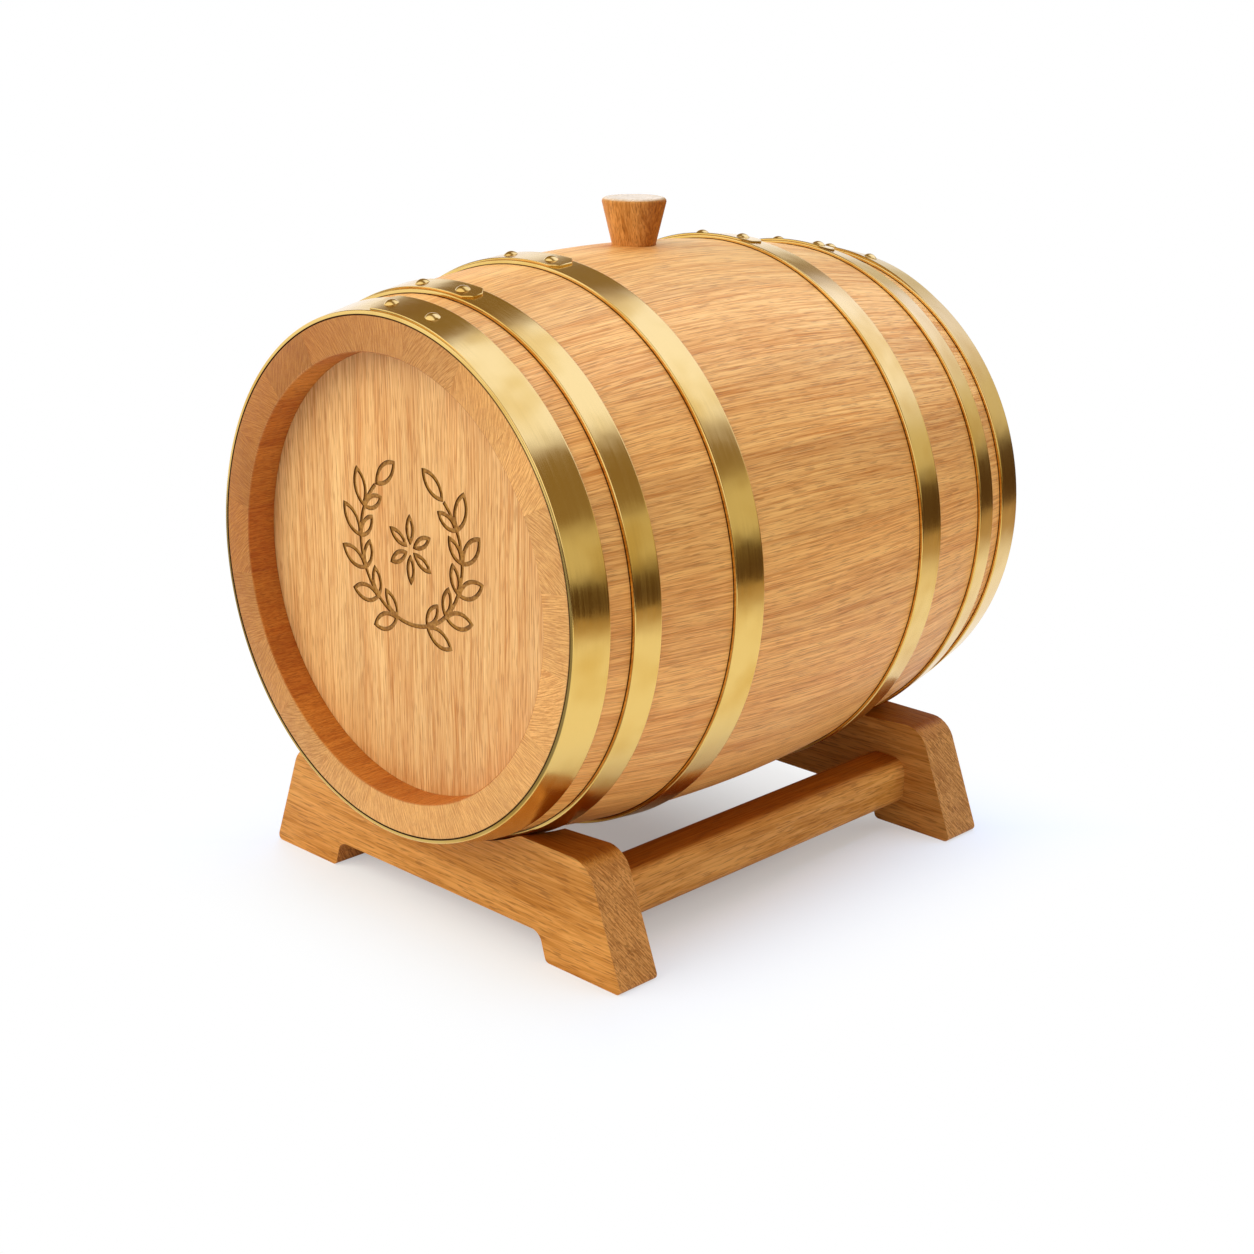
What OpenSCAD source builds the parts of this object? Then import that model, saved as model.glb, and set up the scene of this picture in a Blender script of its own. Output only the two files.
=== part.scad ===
// Small oak cask on its stand.
// Frame: +Z up, floor at z = 0, origin midway between the two cradles.
// The cask lies along Y: its engraved front head faces -Y, its tap is in the back head.

/* [Cask] */
// Length of the cask over its chimes
cask_len = 260; // [240:1:290]
// Radius of the wood at the bilge, the cask's widest place
bilge_r = 112.7; // [108:0.1:118]
// Radius of the wood at the two ends
chime_r = 97.7; // [94:0.1:102]
// Number of staves
stave_count = 20; // [16:2:24]
// Thickness of a stave at the bilge
stave_t = 14.5; // [12:0.1:16]
// Thickness of the chime, outside the heads
chime_t = 13.5; // [11:0.1:15]
// Rounding of the chime's inner edge
chime_round = 2; // [0.5:0.1:3]
// Gap left in the seam between two staves
stave_seam = 0.04; // [0.02:0.01:0.1]

/* [Heads] */
// How far the outer face of a head sits inside the chime
head_recess = 12.6; // [10:0.1:16]
// Thickness of a head
head_t = 12; // [10:0.1:14]
// Thickness of the tongue round a head's edge
tongue_t = 6; // [5:0.1:7]
// Depth of the croze, the groove that holds the tongue, below the chime's bore
croze_depth = 6; // [5:0.1:7]
// Slack of the tongue in the croze
croze_clear = 0.15; // [0.05:0.01:0.3]
// Width of the bevel inside a head's tongue
head_bevel = 7; // [4:0.1:10]
// Width of the middle board of each head
mid_board_w = 58; // [50:1:80]
// Gap left in the joint between two boards
board_seam = 0.04; // [0.02:0.01:0.1]
// Diameter of the dowels that join the boards
dowel_d = 6; // [4:0.1:8]
// Length of a dowel
dowel_len = 22; // [16:1:30]
// Height of the dowels above and below the cask's axis
dowel_rise = 32; // [20:1:45]
// Slack round and beyond a dowel
dowel_clear = 0.05; // [0.02:0.01:0.2]

/* [Engraving] */
// Height of the wreath's centre above the cask's axis
wreath_rise = 10; // [0:1:20]
// Radius of the wreath's stems
wreath_r = 29; // [24:0.5:34]
// Width of an engraved line
line_w = 1.7; // [1:0.1:2.2]
// Depth of an engraved line
line_depth = 0.6; // [0.3:0.1:1]
// Length of a leaf
leaf_len = 16; // [12:0.5:19]
// Width of a leaf
leaf_w = 7.6; // [6:0.1:9]
// Pairs of leaves on each stem
leaf_pairs = 5; // [3:1:6]
// Length of a petal of the rosette in the middle
petal_len = 12; // [9:0.5:15]

/* [Hoops] */
// Thickness of the brass strip
hoop_t = 1.5; // [1:0.1:2]
// Width of the head hoops
head_hoop_w = 15; // [12:0.1:18]
// Width of the quarter hoops
quarter_hoop_w = 11.5; // [9:0.1:14]
// Width of the bilge hoops
bilge_hoop_w = 13.7; // [11:0.1:16]
// From the cask's end to a quarter hoop
quarter_hoop_in = 24.6; // [20:0.1:30]
// From the cask's end to a bilge hoop
bilge_hoop_in = 69.4; // [58:0.1:76]
// Gap between a hoop and the staves
hoop_clear = 0.06; // [0.06:0.01:0.15]
// Length of the lap where a hoop's ends are riveted together
lap_len = 38; // [32:1:44]
// Size of the clipped corners of the lap
lap_clip = 3.2; // [1:0.1:4.5]
// Distance between a hoop's two rivets
rivet_pitch = 22; // [16:0.5:26]
// Diameter of a rivet's head
rivet_head_d = 5.6; // [4:0.1:7]
// Height of a rivet's head
rivet_head_h = 1.4; // [0.8:0.1:2]
// Diameter of a rivet's shank
rivet_d = 3; // [2:0.1:3.6]
// Slack round a rivet's shank
rivet_clear = 0.02; // [0.01:0.01:0.05]

/* [Bung] */
// Diameter of the bung's top
bung_top_d = 25.4; // [22:0.1:30]
// Diameter of the bung where it enters the cask
bung_neck_d = 17.4; // [14:0.1:20]
// How far the bung stands out of the cask
bung_rise = 18.2; // [14:0.1:26]
// How far the bung reaches into the cask
bung_plug = 20; // [17:0.5:26]
// Taper of the plug, on the radius, for each millimetre of depth
bung_taper = 0.06; // [0.03:0.01:0.08]
// Rounding of the bung's top edge
bung_round = 1.8; // [0.5:0.1:3]
// Slack round the bung's plug
bung_clear = 0.15; // [0.05:0.01:0.3]

/* [Stand] */
// Thickness of a cradle
cradle_t = 19.3; // [17:0.1:23]
// Width of a cradle at the floor
foot_span = 208; // [195:1:225]
// Width of a cradle at its shoulders
shoulder_span = 170.4; // [162:0.1:180]
// Height of the shoulders
shoulder_z = 46.9; // [43:0.1:52]
// Height of the saddle's lowest line
saddle_z = 32.8; // [29:0.1:37]
// Gap between a cradle's two feet at the floor
foot_gap = 126; // [105:1:132]
// Height of the arch between the feet
arch_h = 11.3; // [7:0.1:14]
// How far each side of the arch leans in
arch_lean = 3.4; // [0:0.1:6]
// Rounding of the shoulders' outer corners
shoulder_round = 11; // [6:0.5:14]
// Rounding of the feet's lower corners
foot_round = 2.5; // [1:0.1:4]
// Rounding of the arch's corners
arch_round = 5; // [2:0.1:6]
// Gap between the saddle and the quarter hoop
saddle_clear = 0.3; // [0.2:0.05:0.6]
// Width and height of a stretcher
stretcher_w = 21; // [17:0.1:23]
// Rounding of a stretcher's long edges
stretcher_round = 6.5; // [3:0.1:8]
// From a cradle's end at the floor to the middle of a stretcher
stretcher_in = 37; // [33:0.5:43]
// Height of a stretcher's middle
stretcher_z = 20.5; // [18:0.5:24]
// Diameter of the round tenons
tenon_d = 14; // [10:0.1:16]
// Length of a tenon
tenon_len = 11; // [8:0.5:14]
// Slack round and beyond a tenon
tenon_clear = 0.05; // [0.02:0.01:0.2]

/* [Tap] */
// How far the tap's axis lies below the cask's axis
tap_drop = 54; // [46:0.5:60]
// Diameter of the liquor's way through the shank and the key
tap_bore_d = 7; // [6.5:0.1:8]
// Diameter of the liquor's way down the spout
spout_bore_d = 7.6; // [6.5:0.1:8.4]
// Radius of the tap's shank at the outer face of the head
shank_r = 10; // [9:0.1:11]
// Taper of the shank, on the radius, for each millimetre of length
shank_taper = 0.06; // [0.03:0.01:0.08]
// How far the shank reaches into the cask
shank_in = 4; // [2:0.5:6]
// Gap between the shank and its hole
shank_clear = 0.03; // [0.02:0.01:0.1]
// From the head's outer face to the middle of the key
key_out = 33; // [31:0.5:38]
// From the middle of the key to the middle of the spout
spout_out = 14.5; // [13.5:0.5:18]
// How far the spout's mouth lies below the tap's axis
spout_drop = 25; // [20:0.5:28]
// Radius of the spout at its mouth
spout_r = 5.8; // [5.2:0.1:6.5]
// Radius of the tap's barrel
barrel_r = 9.6; // [9:0.1:11]
// Radius of the boss that holds the key
boss_r = 12.4; // [12:0.1:14]
// Height of the boss above and below the tap's axis
boss_h = 13; // [11:0.5:16]
// Radius of the key where it crosses the tap's axis
key_r = 6.8; // [6.2:0.1:7.2]
// Taper of the key, on the radius, for each millimetre of height
key_taper = 0.05; // [0.03:0.01:0.07]
// Running clearance round the key
key_clear = 0.05; // [0.02:0.01:0.1]
// Thickness of the cork lining round the key
cork_t = 1.3; // [0.8:0.1:1.6]
// Gap between the cork lining and the boss
cork_clear = 0.02; // [0.01:0.01:0.05]
// Height of the key's head above the tap's axis
key_rise = 35; // [28:0.5:42]
// Length of the key's cross handle
handle_len = 38; // [28:0.5:44]
// Radius of the handle
handle_r = 3.6; // [3:0.1:4.2]

/* [Hidden] */
half_len = cask_len / 2;
// The staves' outer side is an arc of this radius along the cask.
bow_r = (half_len^2 + (bilge_r - chime_r)^2) / (2 * (bilge_r - chime_r));
function outer_r(y) = bilge_r - bow_r + sqrt(bow_r^2 - y^2);
function inner_r(y) = outer_r(y) - stave_t;

bore_r = chime_r - chime_t;
croze_r = bore_r + croze_depth;
head_face_y = half_len - head_recess;
tongue_back_y = head_face_y - tongue_t;
head_back_y = head_face_y - head_t;
head_mid_y = head_face_y - head_t / 2;
croze_front_y = head_face_y + croze_clear;
croze_back_y = tongue_back_y - croze_clear;
stave_turn = 360 / stave_count;
seam_turn = stave_seam / bilge_r * 180 / PI;

// Each hoop is [name, distance from the cask's end, width, turn of its lap from the top,
// side of the lap's clipped end].
HOOPS = [
    ["head", 0, head_hoop_w, 6.3, -1],
    ["quarter", quarter_hoop_in, quarter_hoop_w, 0.5, 1],
    ["bilge", bilge_hoop_in, bilge_hoop_w, -0.8, 1],
];
function hoop_far_y(hoop) = half_len - hoop[1];
function hoop_near_y(hoop) = hoop_far_y(hoop) - hoop[2];
function hoop_in_r(y) = outer_r(y) + hoop_clear;
function turn_of(length, radius) = length / radius * 180 / PI;

quarter = HOOPS[1];
cradle_y = (hoop_near_y(quarter) + hoop_far_y(quarter)) / 2;
// The saddle is a cone that follows the quarter hoop's outside.
saddle_near_r = hoop_in_r(hoop_near_y(quarter)) + hoop_t + saddle_clear;
saddle_far_r = hoop_in_r(hoop_far_y(quarter)) + hoop_t + saddle_clear;
saddle_slope = (saddle_far_r - saddle_near_r) / quarter_hoop_w;
saddle_r = (saddle_near_r + saddle_far_r) / 2;
axis_z = saddle_z + saddle_r;
cradle_gap = 2 * cradle_y - cradle_t;
stretcher_x = foot_span / 2 - stretcher_in;

board_x = mid_board_w / 2;
tap_z = axis_z - tap_drop;
key_y = head_face_y + key_out;
spout_y = key_y + spout_out;

// How far the lap's edges stand back from the edges of the strip below.
lap_draw_in = 0.15;

// The small turned details of the tap and the bung.
edge = 1;
bead_r = 3;
nose_len = 8;
key_foot = 3;
key_neck_r = 5.2;
key_head_r = 7.6;
key_head_h = 11;
handle_z = tap_z + key_rise - key_head_h / 2;

// Where the engraved stems run, round the wreath's centre from +X, and how the leaves lie.
stem_from = -98;
stem_to = 48;
leaf_from = -74;
leaf_splay = 38;
inner_leaf = 0.78;
petal_share = 0.42;

fine = 180;
medium = 96;
small = 48;
// How far a cutting solid runs past the face that it opens.
past = 1;
// Distance between the places along the cask where a stave's section is worked out.
profile_step = 10;

STAVES = [for (i = [1:stave_count - 1]) str("stave_", i < 10 ? "0" : "", i)];

oak = "#dfa868";
stand_oak = "#b27334";
brass = "#b8923f";
cork = "#a9794a";

// ---- Helpers ----

// Points of an arc about a centre.
function arc(centre, radius, from, to, steps) =
    [for (i = [0:steps]) let (a = from + (to - from) * i / steps)
        centre + radius * [cos(a), sin(a)]];

// Points of one rounded corner of an outline that runs anticlockwise.
function round_corner(before, at, after, radius, steps) =
    let (u = (before - at) / norm(before - at),
         v = (after - at) / norm(after - at),
         half = acos(u * v) / 2,
         out = (u + v) / norm(u + v),
         centre = at + out * radius / sin(half),
         start = at + u * radius / tan(half) - centre,
         finish = at + v * radius / tan(half) - centre,
         from = atan2(start.y, start.x),
         turn = atan2(finish.y, finish.x) - from,
         short = turn > 180 ? turn - 360 : turn < -180 ? turn + 360 : turn)
    arc(centre, radius, from, from + short, steps);

// An outline with each corner [x, y, radius] rounded.
function rounded(corners, steps = 6) =
    let (count = len(corners))
    [for (i = [0:count - 1])
        let (c = corners[i], b = corners[(i + count - 1) % count], a = corners[(i + 1) % count])
        each c.z == 0 ? [[c.x, c.y]]
            : round_corner([b.x, b.y], [c.x, c.y], [a.x, a.y], c.z, steps)];

// Puts what is drawn along Z onto the cask's axis, with the drawing's Z along +Y.
module on_axis() {
    translate([0, 0, axis_z]) rotate([-90, 0, 0]) children();
}

// Turns what is drawn at +X to the cask's top, and on by an angle towards +X.
module from_top(angle) {
    rotate([0, 0, angle - 90]) children();
}

// Puts what is drawn along Z onto the tap's axis.
module on_tap_axis() {
    translate([0, 0, tap_z]) rotate([-90, 0, 0]) children();
}

module for_side(side) {
    if (side > 0) children();
    else mirror([0, 1, 0]) children();
}

// ---- Staves ----

// Half of the stave's section along the cask, from its middle out along one side and back.
function stave_half() = concat(
    [for (y = [0:profile_step:half_len - profile_step / 2]) [outer_r(y), y]],
    [[chime_r, half_len]],
    arc([bore_r + chime_round, half_len - chime_round], chime_round, 90, 180, 4),
    [[bore_r, croze_front_y], [croze_r, croze_front_y],
     [croze_r, croze_back_y], [inner_r(croze_back_y), croze_back_y]],
    [for (y = [floor(croze_back_y / profile_step) * profile_step:-profile_step:0])
        [inner_r(y), y]]);

module stave_solid(turn) {
    half = stave_half();
    count = len(half);
    other_half = [for (i = [count - 2:-1:1]) [half[i].x, -half[i].y]];
    on_axis() from_top(turn + seam_turn / 2 - stave_turn / 2)
        rotate_extrude(angle = stave_turn - seam_turn, $fn = fine)
            polygon(concat(half, other_half));
}

module stave(index) {
    color(oak) stave_solid(index * stave_turn);
}

// Radius of the bung's plug at a height above the cask's surface.
function plug_r(height) = bung_neck_d / 2 + bung_taper * height;

module bung_stave() {
    hole_low = -stave_t - past;
    color(oak) difference() {
        stave_solid(0);
        translate([0, 0, axis_z + bilge_r + hole_low])
            cylinder(h = past - hole_low, r1 = plug_r(hole_low) + bung_clear,
                r2 = plug_r(past) + bung_clear, $fn = medium);
    }
}

// ---- Heads ----

module head_disc() {
    edge_r = croze_r - croze_clear;
    bevel_r = inner_r(tongue_back_y) - edge;
    on_axis() rotate_extrude($fn = fine)
        polygon([[0, head_back_y], [bevel_r - head_bevel, head_back_y],
            [bevel_r, tongue_back_y], [edge_r, tongue_back_y],
            [edge_r, head_face_y], [0, head_face_y]]);
}

module dowel_holes() {
    for (x = [-board_x, board_x], rise = [-dowel_rise, dowel_rise])
        translate([x, head_mid_y, axis_z + rise]) rotate([0, 90, 0])
            cylinder(h = dowel_len + 2 * dowel_clear, d = dowel_d + 2 * dowel_clear,
                center = true, $fn = small);
}

// One board of a head: place is -1 on the left, 0 in the middle and 1 on the right.
module board(place) {
    reach = croze_r + past;
    low = place == 0 ? -board_x + board_seam / 2 : board_x + board_seam / 2;
    high = place == 0 ? board_x - board_seam / 2 : reach;
    difference() {
        intersection() {
            head_disc();
            mirror([place < 0 ? 1 : 0, 0, 0])
                translate([low, head_back_y - past, axis_z - reach])
                    cube([high - low, head_t + 2 * past, 2 * reach]);
        }
        dowel_holes();
    }
}

module front_board(place) {
    color(oak) difference() {
        mirror([0, 1, 0]) board(place);
        engraving();
    }
}

module back_board(place) {
    color(oak) difference() {
        board(place);
        if (place == 0) shank_cone(shank_clear, head_back_y - past, head_face_y + past);
    }
}

module dowels(side) {
    color(oak) for_side(side)
        for (x = [-board_x, board_x], rise = [-dowel_rise, dowel_rise])
            translate([x, head_mid_y, axis_z + rise]) rotate([0, 90, 0])
                cylinder(h = dowel_len, d = dowel_d, center = true, $fn = small);
}

// ---- Engraving on the front head: a plain wreath round a six-petalled rosette ----

// A pointed oval from the origin along +Y, cut between two heights, with its sides drawn in.
module pointed_oval(length, width, draw_in, low, high) {
    side_r = ((length / 2)^2 + (width / 2)^2) / width;
    translate([0, length / 2, low]) intersection_for(side = [-1, 1])
        translate([side * (side_r - width / 2), 0, 0])
            cylinder(h = high - low, r = side_r - draw_in, $fn = medium);
}

module leaf(length, width) {
    difference() {
        pointed_oval(length, width, 0, -line_depth, past);
        pointed_oval(length, width, line_w, -line_depth - past, 2 * past);
    }
}

module sprig() {
    rotate([0, 0, stem_from]) rotate_extrude(angle = stem_to - stem_from, $fn = medium)
        translate([wreath_r - line_w / 2, -line_depth]) square([line_w, line_depth + past]);
    for (i = [0:leaf_pairs - 1])
        rotate([0, 0, leaf_from + (stem_to - leaf_from) * i / leaf_pairs])
            translate([wreath_r, 0, 0]) {
                rotate([0, 0, -leaf_splay]) leaf(leaf_len, leaf_w);
                rotate([0, 0, leaf_splay]) leaf(inner_leaf * leaf_len, inner_leaf * leaf_w);
            }
    rotate([0, 0, stem_to]) translate([wreath_r, 0, 0]) leaf(leaf_len, leaf_w);
}

module engraving() {
    translate([0, -head_face_y, axis_z + wreath_rise]) rotate([90, 0, 0]) {
        for (side = [0, 1]) mirror([side, 0, 0]) sprig();
        for (i = [0:5]) rotate([0, 0, 60 * i])
            translate([0, line_w, 0]) leaf(petal_len, petal_len * petal_share);
    }
}

// ---- Hoops and rivets ----

function hoop_mid_r(hoop) =
    (hoop_in_r(hoop_near_y(hoop)) + hoop_in_r(hoop_far_y(hoop))) / 2;
function hoop_slope(hoop) =
    (hoop_in_r(hoop_far_y(hoop)) - hoop_in_r(hoop_near_y(hoop))) / hoop[2];

// A band round the cask between two heights above a hoop's inner face, with its two edges
// drawn in.
module band(hoop, low, high, turn = 360, draw_in = 0) {
    near = hoop_near_y(hoop) + draw_in;
    far = hoop_far_y(hoop) - draw_in;
    near_r = hoop_in_r(hoop_near_y(hoop)) + hoop_slope(hoop) * draw_in;
    far_r = hoop_in_r(hoop_far_y(hoop)) - hoop_slope(hoop) * draw_in;
    rotate_extrude(angle = turn, $fn = fine)
        polygon([[near_r + low, near], [near_r + high, near],
            [far_r + high, far], [far_r + low, far]]);
}

// The outer end of the strip, over the inner one, with its two corners clipped.
module lap(hoop) {
    half_turn = turn_of(lap_len, hoop_mid_r(hoop)) / 2;
    difference() {
        from_top(hoop[3] - half_turn)
            band(hoop, hoop_t / 2, 2 * hoop_t, 2 * half_turn, lap_draw_in);
        for (y = [hoop_near_y(hoop), hoop_far_y(hoop)])
            from_top(hoop[3] + hoop[4] * half_turn) translate([hoop_mid_r(hoop), 0, y])
                rotate([45, 0, 0]) cube([hoop[2] + 4 * hoop_t, lap_clip * sqrt(2),
                    lap_clip * sqrt(2)], center = true);
    }
}

// Stands each of a hoop's rivets square on its inner face.
module at_rivets(hoop) {
    mid_y = (hoop_near_y(hoop) + hoop_far_y(hoop)) / 2;
    half_pitch = turn_of(rivet_pitch, hoop_mid_r(hoop)) / 2;
    for (turn = [hoop[3] - half_pitch, hoop[3] + half_pitch])
        from_top(turn) translate([hoop_mid_r(hoop), 0, mid_y])
            rotate([0, 90 + atan(hoop_slope(hoop)), 0]) children();
}

module hoop(side, hoop) {
    color(brass) for_side(side) on_axis() difference() {
        union() {
            band(hoop, 0, hoop_t);
            lap(hoop);
        }
        at_rivets(hoop) cylinder(h = 6 * hoop_t, d = rivet_d + 2 * rivet_clear,
            center = true, $fn = small);
    }
}

module rivets(side, hoop) {
    dome_r = ((rivet_head_d / 2)^2 + rivet_head_h^2) / (2 * rivet_head_h);
    color(brass) for_side(side) on_axis() at_rivets(hoop) {
        cylinder(h = 2 * hoop_t + rivet_head_h / 2, d = rivet_d, $fn = small);
        translate([0, 0, 2 * hoop_t]) intersection() {
            translate([0, 0, rivet_head_h - dome_r]) sphere(r = dome_r, $fn = small);
            cylinder(h = rivet_head_h + past, d = rivet_head_d + past, $fn = small);
        }
    }
}

// ---- Bung ----

module bung() {
    top_r = bung_top_d / 2;
    low_r = plug_r(-bung_plug);
    color(stand_oak) translate([0, 0, axis_z + bilge_r]) rotate_extrude($fn = medium)
        polygon(concat(
            [[0, -bung_plug], [low_r - edge, -bung_plug], [low_r, edge - bung_plug],
             [plug_r(0), 0]],
            arc([top_r - bung_round, bung_rise - bung_round], bung_round, 0, 90, 6),
            [[0, bung_rise]]));
}

// ---- Tap ----

// The shank's cone between two places along the cask, grown on the radius.
module shank_cone(grow, from_y, to_y) {
    on_tap_axis() translate([0, 0, from_y])
        cylinder(h = to_y - from_y, r1 = shank_r + shank_taper * (from_y - head_face_y) + grow,
            r2 = shank_r + shank_taper * (to_y - head_face_y) + grow, $fn = medium);
}

// Radius of the key's cone at a height above the tap's axis.
function key_r_at(height) = key_r + key_taper * height;

module key_cone(grow, low, high) {
    translate([0, key_y, tap_z + low])
        cylinder(h = high - low, r1 = key_r_at(low) + grow, r2 = key_r_at(high) + grow,
            $fn = medium);
}

module level_bore() {
    from_y = head_back_y - shank_in - past;
    on_tap_axis() translate([0, 0, from_y])
        cylinder(h = spout_y + edge - from_y, d = tap_bore_d, $fn = small);
}

// The turned barrel; its seam is turned away from those of the boss and the spout.
module barrel() {
    root_y = head_face_y + 2 * edge;
    on_tap_axis() rotate([0, 0, 30]) rotate_extrude($fn = medium)
        polygon(concat(
            [[0, root_y]],
            arc([shank_r, root_y + bead_r], bead_r, -90, 90, 8),
            [[barrel_r, root_y + 2 * bead_r], [barrel_r, spout_y]],
            [for (a = [10:10:80]) [barrel_r * cos(a), spout_y + nose_len * sin(a)]],
            [[0, spout_y + nose_len]]));
}

module boss() {
    translate([0, key_y, tap_z]) rotate_extrude($fn = medium)
        polygon([[0, -boss_h], [boss_r - edge, -boss_h], [boss_r, edge - boss_h],
            [boss_r, boss_h - edge], [boss_r - edge, boss_h], [0, boss_h]]);
}

module spout() {
    translate([0, spout_y, tap_z]) rotate_extrude($fn = medium)
        polygon([[0, -spout_drop], [spout_r, -spout_drop], [spout_r + edge, edge - spout_drop],
            [spout_r + edge, 3 * edge - spout_drop], [spout_r, 4 * edge - spout_drop],
            [spout_r + edge, 0], [0, 0]]);
}

module tap_body() {
    color(stand_oak) difference() {
        union() {
            shank_cone(0, head_back_y - shank_in, head_face_y + 3 * edge);
            barrel();
            boss();
            spout();
        }
        key_cone(key_clear + cork_t + cork_clear, -boss_h - past, boss_h + past);
        level_bore();
        translate([0, spout_y, tap_z - spout_drop - past])
            cylinder(h = spout_drop + past, d = spout_bore_d, $fn = small);
    }
}

module tap_cork() {
    color(cork) difference() {
        key_cone(key_clear + cork_t, -boss_h, boss_h);
        key_cone(key_clear, -boss_h - past, boss_h + past);
        level_bore();
    }
}

module tap_key() {
    low = -boss_h - key_foot;
    color(stand_oak) difference() {
        translate([0, key_y, tap_z]) rotate_extrude($fn = medium)
            polygon([[0, low], [key_r_at(low) - edge, low], [key_r_at(low), low + edge],
                [key_r_at(boss_h), boss_h], [key_neck_r, boss_h + 2 * edge],
                [key_neck_r, key_rise - key_head_h - 2 * edge],
                [key_head_r, key_rise - key_head_h], [key_head_r, key_rise - 2 * edge],
                [key_head_r - 2 * edge, key_rise], [0, key_rise]]);
        translate([0, key_y, tap_z]) rotate([0, 90, 0])
            cylinder(h = 4 * key_r, d = tap_bore_d, center = true, $fn = small);
        translate([0, key_y, handle_z]) rotate([0, 90, 0])
            cylinder(h = 4 * key_head_r, r = handle_r + cork_clear, center = true, $fn = small);
    }
}

module tap_handle() {
    end = handle_len / 2;
    color(stand_oak) translate([0, key_y, handle_z]) rotate([0, 90, 0])
        rotate_extrude($fn = small)
            polygon(concat([[0, -end]],
                arc([handle_r - edge, edge - end], edge, -90, 0, 4),
                arc([handle_r - edge, end - edge], edge, 0, 90, 4),
                [[0, end]]));
}

// ---- Stand ----

// Spreads an outline drawn across the stand into a slab about y = 0.
module slab(outline, thickness) {
    rotate([90, 0, 0]) linear_extrude(thickness, center = true) polygon(outline);
}

module cradle(side) {
    foot = foot_span / 2;
    inner = foot_gap / 2;
    arch = inner - arch_lean;
    shoulder = shoulder_span / 2;
    inner_y = cradle_y - cradle_t / 2;
    arch_fillet = min(arch_round, arch_h / 2);
    foot_fillet = min(foot_round, arch_h / 5);
    cut_y = cradle_t / 2 + past;
    color(stand_oak) for_side(side) difference() {
        translate([0, cradle_y, 0]) slab(rounded([
            [-foot, 0, foot_fillet], [-inner, 0, foot_fillet], [-arch, arch_h, arch_fillet],
            [arch, arch_h, arch_fillet], [inner, 0, foot_fillet], [foot, 0, foot_fillet],
            [shoulder, shoulder_z, shoulder_round], [-shoulder, shoulder_z, shoulder_round],
        ]), cradle_t);
        on_axis() translate([0, 0, cradle_y - cut_y])
            cylinder(h = 2 * cut_y, r1 = saddle_r - saddle_slope * cut_y,
                r2 = saddle_r + saddle_slope * cut_y, $fn = fine);
        for (x = [-stretcher_x, stretcher_x])
            translate([x, inner_y + tenon_len + tenon_clear, stretcher_z]) rotate([90, 0, 0])
                cylinder(h = tenon_len + tenon_clear + past, d = tenon_d + 2 * tenon_clear,
                    $fn = small);
    }
}

module stretcher(side) {
    half_w = stretcher_w / 2;
    color(stand_oak) translate([side * stretcher_x, 0, stretcher_z]) {
        slab(rounded([
            [-half_w, -half_w, stretcher_round], [half_w, -half_w, stretcher_round],
            [half_w, half_w, stretcher_round], [-half_w, half_w, stretcher_round],
        ]), cradle_gap);
        rotate([90, 0, 0])
            cylinder(h = cradle_gap + 2 * tenon_len, d = tenon_d, center = true, $fn = small);
    }
}

for (i = [1:stave_count - 1]) stave(i);
bung_stave();
front_board(-1);  // front_board_left
front_board(0);  // front_board_middle
front_board(1);  // front_board_right
back_board(-1);  // back_board_left
back_board(0);  // back_board_middle
back_board(1);  // back_board_right
dowels(-1);  // front_dowels
dowels(1);  // back_dowels
hoop(-1, HOOPS[0]);  // hoop_front_head
hoop(-1, HOOPS[1]);  // hoop_front_quarter
hoop(-1, HOOPS[2]);  // hoop_front_bilge
hoop(1, HOOPS[0]);  // hoop_back_head
hoop(1, HOOPS[1]);  // hoop_back_quarter
hoop(1, HOOPS[2]);  // hoop_back_bilge
rivets(-1, HOOPS[0]);  // rivets_front_head
rivets(-1, HOOPS[1]);  // rivets_front_quarter
rivets(-1, HOOPS[2]);  // rivets_front_bilge
rivets(1, HOOPS[0]);  // rivets_back_head
rivets(1, HOOPS[1]);  // rivets_back_quarter
rivets(1, HOOPS[2]);  // rivets_back_bilge
bung();
tap_body();
tap_cork();
tap_key();
tap_handle();
cradle(-1);  // cradle_front
cradle(1);  // cradle_back
stretcher(-1);  // stretcher_left
stretcher(1);  // stretcher_right
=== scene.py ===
"""Small oak cask on its stand: the looks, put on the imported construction."""

import math

import bmesh
import bpy
from mathutils import Matrix, Vector


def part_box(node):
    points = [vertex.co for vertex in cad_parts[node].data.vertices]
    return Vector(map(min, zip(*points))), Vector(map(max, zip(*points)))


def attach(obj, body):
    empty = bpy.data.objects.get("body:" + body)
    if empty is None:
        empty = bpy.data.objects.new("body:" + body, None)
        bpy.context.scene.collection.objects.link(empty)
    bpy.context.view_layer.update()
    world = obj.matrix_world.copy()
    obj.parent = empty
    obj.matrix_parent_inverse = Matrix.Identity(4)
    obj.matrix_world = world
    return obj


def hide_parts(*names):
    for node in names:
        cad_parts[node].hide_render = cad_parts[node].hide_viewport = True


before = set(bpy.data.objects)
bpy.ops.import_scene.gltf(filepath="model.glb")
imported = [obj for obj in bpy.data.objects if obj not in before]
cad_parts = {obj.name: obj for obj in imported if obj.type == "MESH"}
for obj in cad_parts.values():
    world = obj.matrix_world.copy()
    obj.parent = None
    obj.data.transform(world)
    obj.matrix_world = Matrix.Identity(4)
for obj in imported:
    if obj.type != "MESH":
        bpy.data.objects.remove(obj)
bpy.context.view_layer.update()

MM = 0.001


# ---- Sizes in millimetres, as the cask was coopered ----


def box_mm(node):
    """Lowest and highest corner of a CAD node, in millimetres."""
    low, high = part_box(node)
    return low / MM, high / MM


side_low, side_high = box_mm("stave_05")
HALF_LEN = side_high.y
BILGE_R = side_high.x
AXIS_Z = (side_low.z + side_high.z) / 2

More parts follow.
